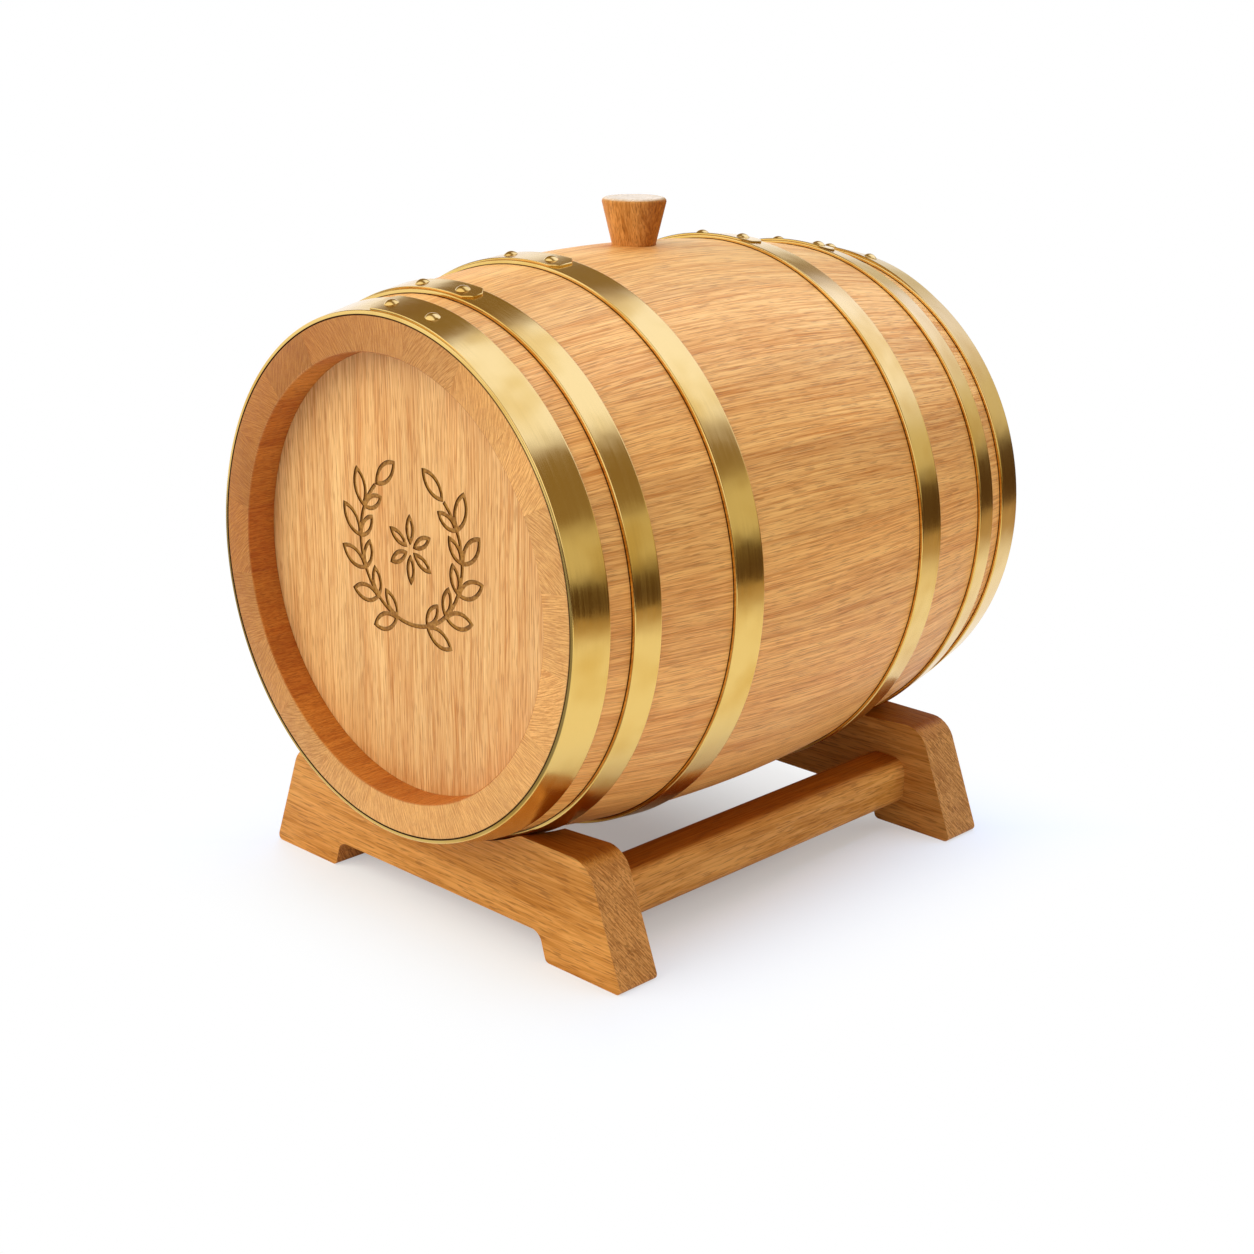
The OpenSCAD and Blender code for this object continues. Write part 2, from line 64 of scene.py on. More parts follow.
CHIME_R = 97.7
STAVE_COUNT = 20
STAVE_T = 14.5
CHIME_T = 13.5
# The CAD rounds the chime's inner edge more than this, and leaves its outer edge sharp. The bevel gives
# the bung stave, which is made from the CAD's, the outer arris of its neighbours.
CHIME_ROUND = 0.8
CAD_CHIME_ROUND = 2
CHIME_ARRIS = 1.0
CHIME_BEVEL = 0.8
STAVE_SEAM = 0.04
HEAD_RECESS = 12.6
TONGUE_T = 6
CROZE_DEPTH = 6
CROZE_CLEAR = 0.15
PROFILE_STEPS = 26

BOW_R = (HALF_LEN**2 + (BILGE_R - CHIME_R) ** 2) / (2 * (BILGE_R - CHIME_R))
BORE_R = CHIME_R - CHIME_T
HEAD_FACE_Y = HALF_LEN - HEAD_RECESS
STAVE_TURN = math.tau / STAVE_COUNT

# Each hoop: distance from the cask's end, width, turn of its lap from the top in degrees, and the side
# of its clipped end.
HOOPS = {
    "head": (0, 15, 6.3, -1),
    "quarter": (24.6, 11.5, 0.5, 1),
    "bilge": (69.4, 13.7, -0.8, 1),
}
HOOP_T = 1.5
HOOP_CLEAR = 0.06
HOOP_ROUND = 0.6
# Width of the narrow strip beside each rounded edge.
HOOP_FLAT = 0.2
LAP_T = 0.8
LAP_ROUND = 0.25
LAP_SUNK = 0.15
LAP_LEN = 38
LAP_CLIP = 3.2
LAP_DRAW_IN = 0.5
# The lap eases down into the ring over this length, from this far beside its middle.
JOGGLE_LEN = 46
JOGGLE_START = 13
JOGGLE_SINK = 0.05
RIVET_PITCH = 22
RIVET_R = 2.8
RIVET_H = 1.4
RIVET_SHANK_R = 1.5

BUNG_TOP_R = 12.7
BUNG_NECK_R = 8.7
BUNG_RISE = 18.2
BUNG_PLUG = 20
BUNG_TAPER = 0.06
BUNG_ROUND = 1.8
BUNG_FLAT = 0.3
BUNG_EDGE = 1

CRADLE_ARCH_H = 11.3
CRADLE_ARCH_LEAN = 3.4
CRADLE_INNER = 63
SHOULDER_X = 85.2
SHOULDER_ROUND = 11
FOOT_ROUND = 2.2
ARCH_ROUND = 5
SADDLE_R = 105.76
SADDLE_SLOPE = -0.178
EDGE_ROUND = 1.5
STRETCHER_ROUND = 6.5
TENON_R = 7
TENON_LEN = 11
TENON_CLEAR = 0.05

# The wreath's centre above the cask's axis, and a radius that holds all its lines.
WREATH_RISE = 10
WREATH_REACH = 50

# Two places on a mesh count as the same within this.
TOLERANCE = 0.01


def outer_r(y):
    """Radius of the staves' outer side at a place along the cask."""
    return BILGE_R - BOW_R + math.sqrt(BOW_R**2 - y**2)


def turn_of(length, radius):
    """The angle that a length takes round a radius."""
    return length / radius


# ---- Materials ----


def colour(code):
    """A colour written as sRGB hex, as the linear one that a shader takes."""
    parts = [int(code[i : i + 2], 16) / 255 for i in (1, 3, 5)]
    linear = [c / 12.92 if c <= 0.04045 else ((c + 0.055) / 1.055) ** 2.4 for c in parts]
    return (*linear, 1)


def add(tree, kind, inputs=(), **settings):
    """Adds a node with its settings and links. The inputs stand in the node's own order, or under
    their names or places; each is a value, an output, or a node that gives its first output."""
    node = tree.nodes.new("ShaderNode" + kind)
    for name, value in settings.items():
        setattr(node, name, value)
    for key, value in inputs.items() if isinstance(inputs, dict) else enumerate(inputs):
        source = value.outputs[0] if isinstance(value, bpy.types.Node) else value
        if isinstance(source, bpy.types.NodeSocket):
            tree.links.new(source, node.inputs[key])
        else:
            node.inputs[key].default_value = source
    return node


# Settings that recur: a soft-edged Map Range, and a Mix of colours with the places of its sockets.
EASED = {"interpolation_type": "SMOOTHSTEP"}
TINTS = {"data_type": "RGBA"}
SHARE, FIRST, SECOND, MIXED = 0, 6, 7, 2
# Scale that turns a place in metres to millimetres.
IN_MM = (1 / MM, 1 / MM, 1 / MM)


def new_material(name):
    material = bpy.data.materials.new(name)
    material.use_nodes = True
    return material, material.node_tree, material.node_tree.nodes["Principled BSDF"]


def cask_place(tree):
    """Where a point lies on the cask, in millimetres: from its middle, out from its axis, and above
    the staves' bowed outer side."""
    place = add(tree, "TexCoord").outputs["Object"]
    on_axis = add(tree, "Mapping", {"Vector": place, "Location": (0, 0, -AXIS_Z), "Scale": IN_MM})
    upright = add(tree, "VectorMath", [on_axis, (1, 0, 1)], operation="MULTIPLY")
    radius = add(tree, "VectorMath", [upright], operation="LENGTH").outputs["Value"]
    part = add(tree, "SeparateXYZ", [on_axis]).outputs
    square = add(tree, "Math", [part["Y"], part["Y"]], operation="MULTIPLY")
    bow = add(tree, "Math", [BOW_R**2, square], operation="SUBTRACT")
    bow = add(tree, "Math", [bow], operation="SQRT")
    staves_r = add(tree, "Math", [bow, BILGE_R - BOW_R], operation="ADD")
    height = add(tree, "Math", [radius, staves_r], operation="SUBTRACT")
    return on_axis, radius, height


def straight_grain(tree, grain, planks):
    """Where a point lies in a straight-grained piece: millimetres with the grain along Y, the plank's
    number, and how square the surface cuts the grain."""
    place = add(tree, "TexCoord").outputs
    turn = Vector(grain).rotation_difference(Vector((0, 1, 0))).to_euler()
    in_grain = add(tree, "Mapping", {"Vector": place["Object"], "Rotation": turn, "Scale": IN_MM})
    steps = tuple(step / MM for step in planks)
    counted = add(tree, "VectorMath", [place["Object"], steps], operation="DOT_PRODUCT").outputs["Value"]
    plank = add(tree, "Math", [counted], operation="ROUND")
    square = add(tree, "VectorMath", [place["Normal"], grain], operation="DOT_PRODUCT").outputs["Value"]
    return in_grain, plank, add(tree, "Math", [square], operation="ABSOLUTE")


def stave_grain(tree):
    """Where a point lies in its stave: millimetres round the cask, along it and above the bowed outer
    side, which the grain follows, the stave's number, and how square the surface cuts the grain."""
    on_axis, _, height = cask_place(tree)
    part = add(tree, "SeparateXYZ", [on_axis]).outputs
    turn = add(tree, "Math", [part["X"], part["Z"]], operation="ARCTAN2")
    steps = add(tree, "Math", [turn, STAVE_TURN], operation="DIVIDE")
    number = add(tree, "Math", [steps], operation="ROUND")
    aside = add(tree, "Math", [steps, number], operation="SUBTRACT")
    across = add(tree, "Math", [aside, STAVE_TURN * BILGE_R], operation="MULTIPLY")
    in_grain = add(tree, "CombineXYZ", [across, part["Y"], height])
    stave = add(tree, "Math", [number, STAVE_COUNT], operation="FLOORED_MODULO")
    normal = add(tree, "TexCoord").outputs["Normal"]
    square = add(tree, "VectorMath", [normal, (0, 1, 0)], operation="DOT_PRODUCT").outputs["Value"]
    return in_grain, stave, add(tree, "Math", [square], operation="ABSOLUTE")


# How far apart planks are cut from the log, and how far their fibres wander, in millimetres.
LOG = (900, 900, 900)
WANDER = (5, 0, 5)
# The ring lines on a sawn end lean up to this many radians either way.
LEAN = 0.9
# How much the bands, the streaks and the fibres each count in the wood's colour, and how dark pores are.
FIGURE_SHARES = (0.22, 0.37, 0.41)
PORE_SHARE = 0.45


def oak(name, grain, face, cut, pore, roughness, shift=0, figure=1.0, coarse=0.3, gloss=0.3, fine=0.4):
    """Oak with a thin satin oil. It shows soft bands and streaks of its yearly rings, fine fibres and
    short dark pores along the grain, and ring lines with specks on a sawn end. The face and the cut
    end each have a light and a deep colour. Shift is how much planks differ in tone, figure how wide
    the streaks are, coarse how strong the specks are, and fine how wide the fibres and pores are."""
    material, tree, shader = new_material(name)
    place, plank, end = grain(tree)
    chance = add(tree, "TexWhiteNoise", {"W": plank}, noise_dimensions="1D").outputs
    # Each plank is cut from another place in the log, and its fibres wander a little, over some 33 mm
    # across the grain and 100 mm along it.
    shifted = add(tree, "VectorMath", [chance["Color"], LOG, place], operation="MULTIPLY_ADD")
    slow = add(tree, "VectorMath", [shifted, (0.03, 0.01, 0.03)], operation="MULTIPLY")
    bend = add(tree, "TexNoise", {"Vector": slow, "Scale": 1.0, "Detail": 0.0}).outputs["Color"]
    fibre_place = add(tree, "VectorMath", [bend, WANDER, shifted], operation="MULTIPLY_ADD")
    # On a sawn end the ring lines run another way in each plank.
    angle = add(tree, "Math", [chance["Value"], 2 * LEAN, -LEAN], operation="MULTIPLY_ADD")
    sawn_place = add(tree, "VectorRotate", {"Vector": place, "Axis": (0, 1, 0), "Angle": angle})

    # Each mark: where it is read, its width, length and depth in millimetres, its detail and swirl, and
    # the levels it runs between. Real pores are 0.2 mm wide; they are drawn 0.4 mm wide or more so that
    # they show.
    patterns = {
        "tone": (shifted, (30, 140, 30), 2, 0, 0.25, 0.75),
        "bands": (fibre_place, (8, 200, 14), 1, 0, 0.35, 0.65),
        "streaks": (fibre_place, (1.1 * figure, 70, 3), 2, 0, 0.38, 0.66),
        "fibres": (fibre_place, (fine, 26, 0.8), 1, 0, 0.38, 0.64),
        "pores": (fibre_place, (fine, 9, 0.6), 1, 0, 0.54, 0.66),
        "lines": (sawn_place, (0.5, 5, 7), 2, 0.2, 0.32, 0.7),
        "specks": (sawn_place, (0.45, 5, 1.6), 1, 0, 0.52, 0.68),
    }
    marks = {}
    for mark, (where, size, detail, swirl, low, high) in patterns.items():
        per_mm = tuple(1 / length for length in size)
        scaled = add(tree, "VectorMath", [where, per_mm], operation="MULTIPLY")
        settings = {"Vector": scaled, "Scale": 1.0, "Detail": detail, "Distortion": swirl}
        marks[mark] = add(tree, "MapRange", [add(tree, "TexNoise", settings), low, high], **EASED)

    shares = add(tree, "CombineXYZ", [marks["bands"], marks["streaks"], marks["fibres"]])
    share = add(tree, "VectorMath", [shares, FIGURE_SHARES], operation="DOT_PRODUCT").outputs["Value"]
    body = add(tree, "Mix", {SHARE: share, FIRST: colour(face[0]), SECOND: colour(face[1])}, **TINTS)
    dark = add(tree, "Math", [marks["pores"], PORE_SHARE], operation="MULTIPLY")
    body = add(tree, "Mix", {SHARE: dark, FIRST: body.outputs[MIXED], SECOND: colour(pore)}, **TINTS)
    sockets = {SHARE: marks["lines"], FIRST: colour(cut[0]), SECOND: colour(cut[1])}
    sawn = add(tree, "Mix", sockets, **TINTS)
    dark = add(tree, "Math", [marks["specks"], coarse], operation="MULTIPLY")
    sawn = add(tree, "Mix", {SHARE: dark, FIRST: sawn.outputs[MIXED], SECOND: colour(pore)}, **TINTS)
    cut_end = add(tree, "MapRange", [end, 0.45, 0.8], **EASED)
    sockets = {SHARE: cut_end, FIRST: body.outputs[MIXED], SECOND: sawn.outputs[MIXED]}
    body = add(tree, "Mix", sockets, **TINTS)

    plank_tone = add(tree, "Math", [chance["Value"], 2 * shift, 0.95 - shift], operation="MULTIPLY_ADD")
    tone = add(tree, "Math", [marks["tone"], 0.1, plank_tone], operation="MULTIPLY_ADD")
    body = add(tree, "VectorMath", {0: body.outputs[MIXED], "Scale": tone}, operation="SCALE")
    depth = add(tree, "Math", [marks["fibres"], 0.3, marks["pores"]], operation="MULTIPLY_ADD")
    bump = add(tree, "Bump", {"Height": depth, "Distance": 0.05 * MM, "Strength": 0.6}, invert=True)
    tree.links.new(body.outputs[0], shader.inputs["Base Color"])
    dullness = add(tree, "MapRange", [share, 0, 1, roughness, roughness + 0.12])
    tree.links.new(dullness.outputs[0], shader.inputs["Roughness"])
    tree.links.new(bump.outputs[0], shader.inputs["Normal"])
    shader.inputs["Specular IOR Level"].default_value = gloss
    return material


# Painted contact shade on the staves, in millimetres. Beside a hoop it is full to the first distance and
# gone at the second. In from the chime's rim it is gone at the first and full at the second.
SHADE_BESIDE_HOOP = (0.1, 0.35)
SHADE_IN_FROM_RIM = (0.45, 0.2)


def toned_and_shaded_staves(material):
    """Darkens the staves' inner wall by a tone that differs from stave to stave, darkens the sawn ends
    towards the upper left, and paints a thin line of shade beside each hoop and round the chime's rim."""
    tree = material.node_tree
    shader = tree.nodes["Principled BSDF"]
    wood = shader.inputs["Base Color"].links[0].from_socket
    on_axis, radius, _ = cask_place(tree)
    _, stave, end = stave_grain(tree)
    # A darker tone on the inner wall, which differs from stave to stave.
    chance = add(tree, "TexWhiteNoise", {"W": stave}, noise_dimensions="1D")
    sockets = {SHARE: chance, FIRST: colour("#e6cda2"), SECOND: colour("#c9a67c")}
    inner_tone = add(tree, "Mix", sockets, **TINTS)
    dark_wall_r, plain_wall_r = BORE_R + CHIME_ROUND / 4, BORE_R + CHIME_ROUND
    inside = add(tree, "MapRange", [radius, dark_wall_r, plain_wall_r, 1, 0], **EASED)
    sockets = {SHARE: inside, FIRST: wood, SECOND: inner_tone.outputs[MIXED]}
    body = add(tree, "Mix", sockets, blend_type="MULTIPLY", **TINTS).outputs[MIXED]

    # The darkening of the sawn ends fades towards the lower right, from 80 mm before the axis to 30 mm past
    # it.
    lower_right, most, least = (0.85, 0, -0.52), -80, 30
    aslant = add(tree, "VectorMath", [on_axis, lower_right], operation="DOT_PRODUCT").outputs["Value"]
    upper_left = add(tree, "MapRange", [aslant, most, least, 1, 0])
    square = add(tree, "MapRange", [end, 0.6, 0.9])
    dark = add(tree, "Math", [upper_left, square], operation="MULTIPLY")
    outside = add(tree, "Math", [1.0, inside], operation="SUBTRACT")
    dark = add(tree, "Math", [dark, outside], operation="MULTIPLY")
    sockets = {SHARE: dark, FIRST: body, SECOND: colour("#c6ac82")}
    body = add(tree, "Mix", sockets, blend_type="MULTIPLY", **TINTS).outputs[MIXED]

    along = add(tree, "Math", [add(tree, "SeparateXYZ", [on_axis]).outputs["Y"]], operation="ABSOLUTE")
    unshaded_r, shaded_r = (CHIME_R - inwards for inwards in SHADE_IN_FROM_RIM)
    contact_shade = add(tree, "MapRange", [radius, unshaded_r, shaded_r], **EASED)
    for inset, width, _, _ in HOOPS.values():
        aside = add(tree, "Math", [along, HALF_LEN - inset - width / 2], operation="SUBTRACT")
        outside = add(tree, "Math", [aside], operation="ABSOLUTE")
        full, gone = (width / 2 + beyond for beyond in SHADE_BESIDE_HOOP)
        beside = add(tree, "MapRange", [outside, full, gone, 1, 0], **EASED)
        # By the head hoop, which is at the end itself, the chime gets the painted shade only at its rim.
        contact_shade = add(tree, "Math", [contact_shade, beside], operation="MAXIMUM" if inset else "MULTIPLY")
    # Painted shade: a dark brown line where the staves meet the hoops, and on the chime's rim.
    sockets = {SHARE: contact_shade, FIRST: body, SECOND: colour("#402208")}
    body = add(tree, "Mix", sockets, **TINTS).outputs[MIXED]
    tree.links.new(body, shader.inputs["Base Color"])
    gloss_out_of_shade = add(tree, "MapRange", [contact_shade, 0, 1, 0.3, 0.0])
    tree.links.new(gloss_out_of_shade.outputs[0], shader.inputs["Specular IOR Level"])
    return material


def painted_side_shade(material, way, start, full, tint):
    """Paints shade on the faces that look one way, darkening their colour. Start and full say how
    squarely a face looks that way, as a cosine."""
    tree = material.node_tree
    shader = tree.nodes["Principled BSDF"]
    wood = shader.inputs["Base Color"].links[0].from_socket
    normal = add(tree, "TexCoord").outputs["Normal"]
    facing = add(tree, "VectorMath", [normal, way], operation="DOT_PRODUCT").outputs["Value"]
    share = add(tree, "MapRange", [facing, start, full], **EASED)
    sockets = {SHARE: share, FIRST: wood, SECOND: colour(tint)}
    body = add(tree, "Mix", sockets, blend_type="MULTIPLY", **TINTS).outputs[MIXED]
    tree.links.new(body, shader.inputs["Base Color"])
    return material


def burnt_lines(material):
    """Adds the laser's brown lines to a head's oak, where its face is sunk: the floor of a line is toffee
    brown, its walls char."""
    tree = material.node_tree
    shader = tree.nodes["Principled BSDF"]
    wood = shader.inputs["Base Color"].links[0].from_socket
    place = add(tree, "TexCoord").outputs
    offset = (0, HEAD_FACE_Y, -AXIS_Z - WREATH_RISE)
    local = add(tree, "Mapping", {"Vector": place["Object"], "Location": offset, "Scale": IN_MM})
    depth = add(tree, "SeparateXYZ", [local]).outputs["Y"]
    reach = add(tree, "VectorMath", [local], operation="LENGTH").outputs["Value"]
    near = add(tree, "Math", [reach, WREATH_REACH], operation="LESS_THAN")
    face, burnt = 0.02, 0.1
    sunk = add(tree, "MapRange", [depth, face, burnt], **EASED)
    sunk = add(tree, "Math", [sunk, near], operation="MULTIPLY")
    facing = add(tree, "VectorMath", [place["Normal"], (0, 1, 0)], operation="DOT_PRODUCT").outputs["Value"]
    facing = add(tree, "Math", [facing], operation="ABSOLUTE")
    floor = add(tree, "MapRange", [facing, 0.3, 0.9], **EASED)
    # Smoke stains are about 1 mm wide.
    smoke = add(tree, "TexNoise", {"Vector": local, "Scale": 0.9})
    stain = add(tree, "MapRange", [smoke, 0.35, 0.65], **EASED)
    sockets = {SHARE: stain, FIRST: colour("#b07a34"), SECOND: colour("#8f5c20")}
    brown = add(tree, "Mix", sockets, **TINTS)
    sockets = {SHARE: floor, FIRST: colour("#6a3d10"), SECOND: brown.outputs[MIXED]}
    char = add(tree, "Mix", sockets, **TINTS)
    lined = add(tree, "Mix", {SHARE: sunk, FIRST: wood, SECOND: char.outputs[MIXED]}, **TINTS)
    tree.links.new(lined.outputs[MIXED], shader.inputs["Base Color"])
    return material


def brushed_brass(name):
    """Rolled brass strip, brushed along its length: a satin gold with long soft reflections, a fine
    grain round the cask and faint dents from the hammer. Painted shade sits where it meets the wood."""
    material, tree, shader = new_material(name)
    on_axis, radius, height = cask_place(tree)
    part = add(tree, "SeparateXYZ", [on_axis]).outputs
    turn = add(tree, "Math", [part["X"], part["Z"]], operation="ARCTAN2")
    round_it = add(tree, "Math", [turn, BILGE_R], operation="MULTIPLY")
    strip = add(tree, "CombineXYZ", [part["Y"], round_it, radius])
    # Brush lines are some 0.05 mm apart; they are drawn 0.4 mm apart so that they show.
    brushed = add(tree, "VectorMath", [strip, (1 / 0.4, 1 / 45, 1 / 2)], operation="MULTIPLY")
    lines = add(tree, "TexNoise", {"Vector": brushed, "Scale": 1.0, "Detail": 2.0})
    # Hammer dents are some 11 mm wide, and smears of the hand 24 mm.
    dents = add(tree, "TexNoise", {"Vector": on_axis, "Scale": 1 / 11, "Detail": 1.0})
    smears = add(tree, "TexNoise", {"Vector": on_axis, "Scale": 1 / 24, "Detail": 2.0})
    stain = add(tree, "MapRange", [smears, 0.4, 0.75], **EASED)
    sockets = {SHARE: stain, FIRST: colour("#ebc673"), SECOND: colour("#deb257")}
    gold = add(tree, "Mix", sockets, **TINTS)
    # Painted shade stands 0.2 to 0.38 mm up the brass from the wood.
    full, gone = 0.2, 0.38
    corner = add(tree, "MapRange", [height, full, gone, 1, 0], **EASED)
    sockets = {SHARE: corner, FIRST: gold.outputs[MIXED], SECOND: colour("#5e3d1a")}
    tree.links.new(add(tree, "Mix", sockets, **TINTS).outputs[MIXED], shader.inputs["Base Color"])
    rough = add(tree, "MapRange", [lines, 0.3, 0.7, 0.13, 0.2], **EASED)
    rough = add(tree, "Math", [stain, 0.05, rough], operation="MULTIPLY_ADD")
    tree.links.new(rough.outputs[0], shader.inputs["Roughness"])
    shader.inputs["Metallic"].default_value = 1.0
    hollow = add(tree, "Bump", {"Height": dents, "Distance": 0.12 * MM, "Strength": 1.0})
    grain = add(tree, "Bump", {"Height": lines, "Distance": 0.004 * MM, "Strength": 1.0, "Normal": hollow})
    tree.links.new(grain.outputs[0], shader.inputs["Normal"])
    return material


def cut_cork(name):
    """Cork cut from the sheet: tan, dull, with dark pits."""
    material, tree, shader = new_material(name)
    place = add(tree, "TexCoord").outputs["Object"]
    local = add(tree, "VectorMath", [place, IN_MM], operation="MULTIPLY")
    # Pits are some 0.9 mm wide, and the grains of cork 2.4 mm.
    pits = add(tree, "TexNoise", {"Vector": local, "Scale": 1 / 0.9})
    pits = add(tree, "MapRange", [pits, 0.58, 0.68], **EASED)
    grains = add(tree, "TexNoise", {"Vector": local, "Scale": 1 / 2.4, "Detail": 3.0})
    grains = add(tree, "MapRange", [grains, 0.35, 0.65], **EASED)
    sockets = {SHARE: grains, FIRST: colour("#b98c59"), SECOND: colour("#9c6d3d")}
    body = add(tree, "Mix", sockets, **TINTS)
    sockets = {SHARE: pits, FIRST: body.outputs[MIXED], SECOND: colour("#5d3a1b")}
    body = add(tree, "Mix", sockets, **TINTS)
    tree.links.new(body.outputs[MIXED], shader.inputs["Base Color"])
    shader.inputs["Roughness"].default_value = 0.85
    bump = add(tree, "Bump", {"Height": pits, "Distance": 0.15 * MM, "Strength": 0.8}, invert=True)
    tree.links.new(bump.outputs[0], shader.inputs["Normal"])
    return material


ALONG_X, ALONG_Y, ALONG_Z = (1, 0, 0), (0, 1, 0), (0, 0, 1)
ONE_PLANK = (0, 0, 0)
# Planks per millimetre: a head's boards are 58 mm wide; each cradle and each stretcher is one plank.
HEAD_BOARDS = (1 / 58, 0, 0)
CRADLE_PLANKS = (0, 0.01, 0)
STRETCHER_PLANKS = (0.015, 0, 0)


def grain_along(way, planks=ONE_PLANK):
    """Straight grain along one way, for oak() to lay in its own node tree."""
    return lambda tree: straight_grain(tree, way, planks)


HEAD_OAK = {"face": ("#f4c27b", "#c9823f"), "cut": ("#d9a05c", "#b97c3c"), "pore": "#a8652a",
            "roughness": 0.45, "shift": 0.02, "figure": 0.55, "gloss": 0.2, "fine": 0.45}
STAND_OAK = {"face": ("#e09c4c", "#b57024"), "cut": ("#d8944a", "#a9682a"), "pore": "#7d4716",
             "roughness": 0.4, "shift": 0.02, "gloss": 0.12}
TURNED_OAK = {"face": ("#e6a052", "#b06a26"), "pore": "#7b4516", "roughness": 0.42}
BUNG_CUT = ("#e8c394", "#d6ae7c")
# The bung's right side, as the camera sees it, gets painted shade.
BUNG_SHADED_SIDE = (0.75, 0.66, 0)

stave_oak = toned_and_shaded_staves(oak("oiled_oak_staves", stave_grain, face=("#f6b25c", "#c97629"),
                                 cut=("#eab064", "#c4813c"), pore="#985619", roughness=0.42,
                                 shift=0.07, figure=0.9, coarse=0.25, gloss=0.2))
head_oak = oak("oiled_oak_heads", grain_along(ALONG_Z, HEAD_BOARDS), **HEAD_OAK)
front_oak = burnt_lines(oak("oiled_oak_engraved_head", grain_along(ALONG_Z, HEAD_BOARDS), **HEAD_OAK))
cradle_oak = oak("honey_oak_cradles", grain_along(ALONG_X, CRADLE_PLANKS), coarse=0.6, **STAND_OAK)
# Painted shade on the cradles' upward faces, under the cask.
cradle_oak = painted_side_shade(cradle_oak, ALONG_Z, start=0.8, full=0.98, tint="#c0a06a")
stretcher_oak = oak("honey_oak_stretchers", grain_along(ALONG_Y, STRETCHER_PLANKS), **STAND_OAK)
# Painted shade on the stretchers' upward faces, under the cask's belly.
stretcher_oak = painted_side_shade(stretcher_oak, ALONG_Z, start=0.7, full=0.98, tint="#c09a62")
bung_oak = oak("turned_oak_bung", grain_along(ALONG_Z), cut=BUNG_CUT, gloss=0.12, **TURNED_OAK)
# Painted shade on the bung's right side.
bung_oak = painted_side_shade(bung_oak, BUNG_SHADED_SIDE, start=0, full=0.9, tint="#cca864")
tap_oak = oak("turned_oak_tap", grain_along(ALONG_Y), cut=STAND_OAK["cut"], **TURNED_OAK)
key_oak = oak("turned_oak_key", grain_along(ALONG_Z), cut=STAND_OAK["cut"], **TURNED_OAK)
handle_oak = oak("turned_oak_handle", grain_along(ALONG_X), cut=STAND_OAK["cut"], **TURNED_OAK)
brass = brushed_brass("brushed_brass_strip")
cork = cut_cork("cut_cork")


# ---- Tools for modelling, in millimetres ----

CREASE = math.radians(32)
ON_AXIS = Matrix.Translation((0, 0, AXIS_Z))


def piece(name, bm, material, body, slot, *nodes, bevel=0):
    """Makes a finished bmesh a piece that rides on a body and stands for CAD nodes."""
    bmesh.ops.recalc_face_normals(bm, faces=bm.faces)
    bmesh.ops.transform(bm, matrix=Matrix.Scale(MM, 4), verts=bm.verts)
    for face in bm.faces:
        face.smooth = True
    for edge in bm.edges:
        edge.smooth = edge.calc_face_angle(0) < CREASE
    mesh = bpy.data.meshes.new(name)
    bm.to_mesh(mesh)
    bm.free()
    mesh.materials.append(material)
    made = bpy.data.objects.new(name, mesh)
    bpy.context.scene.collection.objects.link(made)
    if bevel:
        rounding = made.modifiers.new("rounded_edges", "BEVEL")
        rounding.width = bevel * MM
        rounding.segments = 3
        rounding.limit_method = "ANGLE"
        rounding.angle_limit = CREASE
        rounding.harden_normals = True
    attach(made, body)
    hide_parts(*nodes)
    return made


def dressed(node, material):
    """Gives a CAD node, which stays as it is, its finish."""
    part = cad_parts[node]
    for held in part.material_slots:
        held.material = material


def merged_copy(node):
    """The mesh of a CAD node in millimetres, with its loose triangles joined."""
    bm = bmesh.new()
    bm.from_mesh(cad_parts[node].data)
    bmesh.ops.transform(bm, matrix=Matrix.Scale(1 / MM, 4), verts=bm.verts)
    bmesh.ops.remove_doubles(bm, verts=bm.verts, dist=0.002)
    return bm


def arc(centre, radius, start, end, steps):
    """Points of an arc about a centre, from one angle to another in degrees."""
    turns = [math.radians(start + (end - start) * i / steps) for i in range(steps + 1)]
    return [(centre[0] + radius * math.cos(a), centre[1] + radius * math.sin(a)) for a in turns]


def swung(outline, start, turn, steps):
    """A closed solid: a filled outline of (radius, along) points, swung round the cask's axis."""
    bm = bmesh.new()
    edge = [bm.verts.new((0, y, r)) for r, y in outline]
    section = bm.faces.new(edge)
    bmesh.ops.rotate(bm, cent=(0, 0, 0), matrix=Matrix.Rotation(start, 3, "Y"), verts=bm.verts)
    bmesh.ops.spin(bm, geom=[*edge, *section.edges, section], cent=(0, 0, 0), axis=(0, 1, 0),
                   dvec=(0, 0, 0), angle=turn, steps=steps, use_merge=False)
    return bm


def ring(outline, steps):
    """A closed ring: an outline of (radius, along) points, taken all the way round the cask's axis."""
    bm = bmesh.new()
    corners = [bm.verts.new((0, y, r)) for r, y in outline]
    edges = [bm.edges.new((a, b)) for a, b in zip(corners, corners[1:] + corners[:1])]
    bmesh.ops.spin(bm, geom=corners + edges, cent=(0, 0, 0), axis=(0, 1, 0), dvec=(0, 0, 0),
                   angle=math.tau, steps=steps, use_merge=True)
    return bm


def turned(profile, steps):
    """A solid turned about Z from a profile of (radius, height) points that begins and ends there."""
    bm = bmesh.new()
    line = [bm.verts.new((r, 0, h)) for r, h in profile]
    edges = [bm.edges.new(pair) for pair in zip(line, line[1:])]
    bmesh.ops.spin(bm, geom=line + edges, cent=(0, 0, 0), axis=(0, 0, 1), dvec=(0, 0, 0),
                   angle=math.tau, steps=steps, use_merge=True)
    bmesh.ops.remove_doubles(bm, verts=bm.verts, dist=0.0005)
    return bm


def joined(*parts):
    """One bmesh that holds several."""
    whole = parts[0]
    for part in parts[1:]:
        carrier = bpy.data.meshes.new("carrier")
        part.to_mesh(carrier)
        part.free()
        whole.from_mesh(carrier)
        bpy.data.meshes.remove(carrier)
    return whole


# ---- Staves ----


